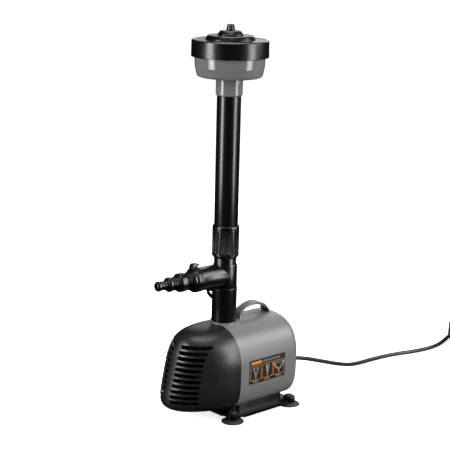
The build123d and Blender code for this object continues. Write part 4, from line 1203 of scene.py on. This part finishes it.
class PUMP_OT_adapter(bpy.types.Operator):
    """Stepped hose adapter with its flange and finger tab"""

    bl_idname = "pump.adapter"
    bl_label = "Hose adapter"

    def execute(self, context):
        s = sizes()
        heading = math.radians(4.0)
        axis = (-math.cos(heading), math.sin(heading), 0)
        flange = [
            (0, 50.8), (16.8, 50.8, 0.2), (17.8, 51.6, 0.5), (17.8, 53.2, 0.2), (17.35, 53.6, 0.2),
            (17.8, 54.0, 0.2),
            (17.8, 57.3, 0.7), (15.4, 57.3, 0.4), (15.0, 58.2, 0.3), (15.0, 61.2, 0.4),
        ]
        along = 61.8
        outline = list(flange)
        for radius, length in zip((13.25, 10.2, 7.1), (23.0, 17.8, 17.2)):
            groove = 0.79 * radius
            for ridge in range(3):
                start = along + ridge * 3.6
                outline += [(groove, start, 0.3), (radius - 0.7, start + 0.5, 0.4),
                    (radius - 0.5, start + 1.6, 0.5)]
                outline += [(groove, start + 2.3, 0.4)]
            smooth = along + 3 * 3.6
            outline += [(groove, smooth, 0.4), (radius + 0.2, smooth + 0.9, 0.8)]
            along += length
            outline += [(radius + 0.2, along - 2.6, 1.8), (radius - 1.6, along - 0.4, 1.2),
                (radius - 3.0, along, 0.6)]
        outline += [(4.1, along, 0.5), (4.0, along - 6.0), (0, along - 6.5)]
        outer = object_of("adapter_body", turned(outline, (s.riser_x, 0, s.outlet_height), axis))
        bore = [(0, 50.0), (9.0, 50.0), (9.0, 82.4), (6.5, 84.0), (6.5, 100.0), (4.0, 102.0), (4.0, 121.0),
            (0, 121.0)]
        joined_with(outer, object_of("adapter_bore",
            turned(bore, (s.riser_x, 0, s.outlet_height), axis, 64)), "DIFFERENCE")
        sleeve = [
            (11.4, 50.6), (13.95, 50.6), (13.95, 20.4, 0.3), (0, 20.4), (0, 22.6), (11.4, 22.6),
        ]
        joined_with(outer, self.disc(s, sleeve, axis), "UNION")
        dressed(outer, "fitting_black", "valve", "hose_adapter")
        softened("valve_lever", "fitting_black", "valve", 0.7, 3)
        return {"FINISHED"}

    def disc(self, s, sleeve, axis):
        """The sleeve inside the outlet, closed by a disc with two quarter openings."""
        made = object_of("valve_sleeve", turned(sleeve, (s.riser_x, 0, s.outlet_height), axis))
        cut = bmesh.new()
        lever_turn = math.radians(-4.0)
        stand = Matrix.Translation((s.riser_x, 0, s.outlet_height)) @ Matrix.Rotation(lever_turn, 4, "Z")
        for sign in (-1, 1):
            outline = []
            for step in range(13):
                t = math.radians(4 + 82 * step / 12)
                outline.append((-26.0, sign * 11.0 * math.cos(t), sign * 11.0 * math.sin(t)))
            outline += [(-26.0, sign * 0.8, sign * 2.2), (-26.0, sign * 2.2, sign * 0.8)]
            prism(cut, [stand @ Vector(p) for p in outline], stand.to_3x3() @ Vector((8.0, 0, 0)))
        return joined_with(made, object_of("sectors", cut), "DIFFERENCE")


class PUMP_OT_head(bpy.types.Operator):
    """Fountain head: sleeve, bowl, stepped cap and nozzle tip"""

    bl_idname = "pump.head"
    bl_label = "Fountain head"

    def execute(self, context):
        s = sizes()
        at = (s.riser_x, 0, 0)
        sleeve = [
            (12.0, 471.6), (17.05, 471.6), (17.05, 461.0, 0.4), (17.9, 461.0, 0.4), (18.9, 462.5, 0.6),
            (18.9, 486.3),
            (12.0, 486.3),
        ]
        ring = object_of("sleeve_ring", turned(sleeve, at, segments=128))
        lug = bmesh.new()
        corners = [(18.5, -1.0, 486.25), (21.3, -1.0, 486.25), (21.3, -1.0, 485.0), (19.6, -1.0, 483.3),
            (18.5, -1.0, 483.3)]
        prism(lug, corners, (0, 2.0, 0))
        bmesh.ops.rotate(lug, cent=(0, 0, 0), matrix=Matrix.Rotation(math.radians(20), 3, "Z"),
            verts=lug.verts)
        repeated(
            ring, object_of("lug", lug), "head_grey", "add_in_steps", Count=4, Start=lengths(s.riser_x, 0, 0),
            Step=lengths(0, 0, 0), Turn=math.pi / 2,
        )
        eased(ring, 0.3, 2, 50)
        dressed(ring, "head_grey", "head", "head_sleeve")
        bowl = [
            (41.5, 486.3, 3.0), (45.2, 487.6, 3.5), (46.5, 491.3, 4.0), (48.2, 500.0, 0.3),
            (48.5, 500.3, 0.2),
            (50.2, 530.0, 0.8), (47.8, 530.0, 0.8), (45.8, 501.0, 1.0), (43.9, 492.0, 4.0),
            (39.0, 488.7, 3.0),
            (12.0, 488.7, 1.0), (12.0, 531.0, 0.4), (9.5, 531.0, 0.4), (9.5, 471.8), (11.95, 471.8),
            (11.95, 486.3),
        ]
        dressed(object_of("fountain_bowl", turned(bowl, at, segments=144)), "head_grey", "head", "bowl")
        c = s.cap
        cap = [
            (15.1, 511.5, 0.3), (17.3, 511.5, 0.3), (17.3, 535.6), (c - 2.2, 535.6, 0.6),
            (c - 2.2, 514.5, 0.4),
            (c + 0.4, 514.5, 0.6), (c + 0.3, 516.5, 0.3), (c, 536.4, 1.0), (c - 1.4, 537.8, 1.0),
            (c - 4.0, 537.8, 0.6),
            (c - 4.6, 537.4, 0.5), (36.2, 537.4, 0.5), (35.4, 537.8, 0.3), (15.1, 537.8),
        ]
        dressed(object_of("cap_ring", turned(cap, at, segments=144)), "cap_black", "cap", "cap")
        second = [
            (13.0, 537.8), (34.7, 537.8, 0.4), (34.4, 538.8, 0.3), (31.9, 542.9, 0.6), (31.0, 543.7, 0.4),
            (30.0, 543.5, 0.4),
            (20.0, 543.5, 0.4), (19.0, 543.7, 0.3), (13.0, 543.7),
        ]
        dressed(object_of("cap_second", turned(second, at, segments=144)), "cap_black", "cap", "cap_tier_two")
        third = [
            (4.05, 543.7), (18.2, 543.7, 0.4), (17.9, 544.8, 0.3), (14.9, 549.2, 0.6), (14.1, 549.9, 0.4),
            (8.0, 549.9, 0.3),
            (7.4, 549.6, 0.3), (4.05, 549.6),
        ]
        dressed(object_of("cap_third", turned(third, at, segments=128)), "cap_black", "cap", "cap_tier_three")
        tip = [
            (1.6, 539.5), (4.0, 539.5, 0.3), (4.0, 550.2), (6.2, 550.2, 0.4), (6.15, 551.2, 0.2),
            (5.0, 558.0, 0.4),
            (4.3, 558.7, 0.4), (1.9, 558.7, 0.3), (1.6, 558.0),
        ]
        nozzle = object_of("nozzle", turned(tip, at, segments=96))
        groove = [(0, 551.3), (0.95, 552.1, 0.4), (0.95, 562.0), (0, 562.0)]
        cutter = turned(groove, (0, 0, 0), segments=16)
        lean = Matrix.Rotation(math.radians(-7.6), 4, "Y")
        pivot = Matrix.Translation((6.3, 0, 550.0)) @ lean @ Matrix.Translation((0, 0, -550.0))
        bmesh.ops.transform(cutter, matrix=pivot, verts=cutter.verts)
        repeated(
            nozzle, object_of("flute", cutter), "cap_black", "cut_in_steps", Count=8,
            Start=lengths(s.riser_x, 0, 0),
            Step=lengths(0, 0, 0), Turn=math.pi / 4,
        )
        eased(nozzle, 0.12, 2, 35)
        dressed(nozzle, "cap_black", "tip", "nozzle_tip")
        return {"FINISHED"}


class PUMP_OT_entry(bpy.types.Operator):
    """Cord entry: gland, nut and ribbed strain relief"""

    bl_idname = "pump.entry"
    bl_label = "Cord entry"

    def execute(self, context):
        softened("cord_gland", "fitting_black", "root", 0.5, 3)
        outline = [(0, 79.05), (7.9, 79.05, 0.4)]
        for ring in range(6):
            start = 79.6 + 3.1 * ring
            radius = 7.5 - 0.56 * ring
            outline += [(radius, start, 0.4), (radius, start + 1.9, 0.5), (radius - 0.9, start + 2.1, 0.3),
                (radius - 0.9, start + 3.0, 0.3)]
        outline += [(3.9, 98.6, 0.4), (3.6, 99.0, 0.2), (0, 99.0)]
        relief = turned(outline, (0, 0, 47.0), (1, 0, 0), 64)
        dressed(object_of("cord_boot", relief), "seal_rubber", "root", "strain_relief")
        return {"FINISHED"}


class PUMP_OT_inside(bpy.types.Operator):
    """Finishes of the parts inside the pump"""

    bl_idname = "pump.inside"
    bl_label = "Inside parts"

    def execute(self, context):
        for subpart in frame["record"]["subparts"]:
            node = frame["nodes"][subpart["node"]]
            if node.hide_render:
                continue
            mesh = node.data
            mesh.materials.clear()
            mesh.materials.append(bpy.data.materials[subpart["material_slot"]])
        return {"FINISHED"}


# ---- the add-on's panel and registration ----
OPERATORS = (
    PUMP_OT_stage, PUMP_OT_cord, PUMP_OT_casing, PUMP_OT_cover, PUMP_OT_base, PUMP_OT_riser, PUMP_OT_adapter,
    PUMP_OT_head, PUMP_OT_entry, PUMP_OT_inside,
)


class PUMP_PT_panel(bpy.types.Panel):
    """Buttons for the pump's pieces, above their sizes and colours"""

    bl_label = "Fountain pump"
    bl_idname = "PUMP_PT_panel"
    bl_space_type = "VIEW_3D"
    bl_region_type = "UI"
    bl_category = "Pump"

    def draw(self, context):
        column = self.layout.column()
        for operator in OPERATORS:
            column.operator(operator.bl_idname)
        for group in (context.scene.pump_sizes, context.scene.pump_colours):
            for key in group.__annotations__:
                column.prop(group, key)


CLASSES = (PumpSizes, PumpColours, *OPERATORS, PUMP_PT_panel)


def register():
    for item in CLASSES:
        bpy.utils.register_class(item)
    bpy.types.Scene.pump_sizes = bpy.props.PointerProperty(type=PumpSizes)
    bpy.types.Scene.pump_colours = bpy.props.PointerProperty(type=PumpColours)


def unregister():
    del bpy.types.Scene.pump_colours
    del bpy.types.Scene.pump_sizes
    for item in reversed(CLASSES):
        bpy.utils.unregister_class(item)


def main():
    """Builds every piece."""
    register()
    for operator in OPERATORS:
        getattr(bpy.ops.pump, operator.bl_idname.split(".")[1])()


if __name__ == "__main__":
    main()
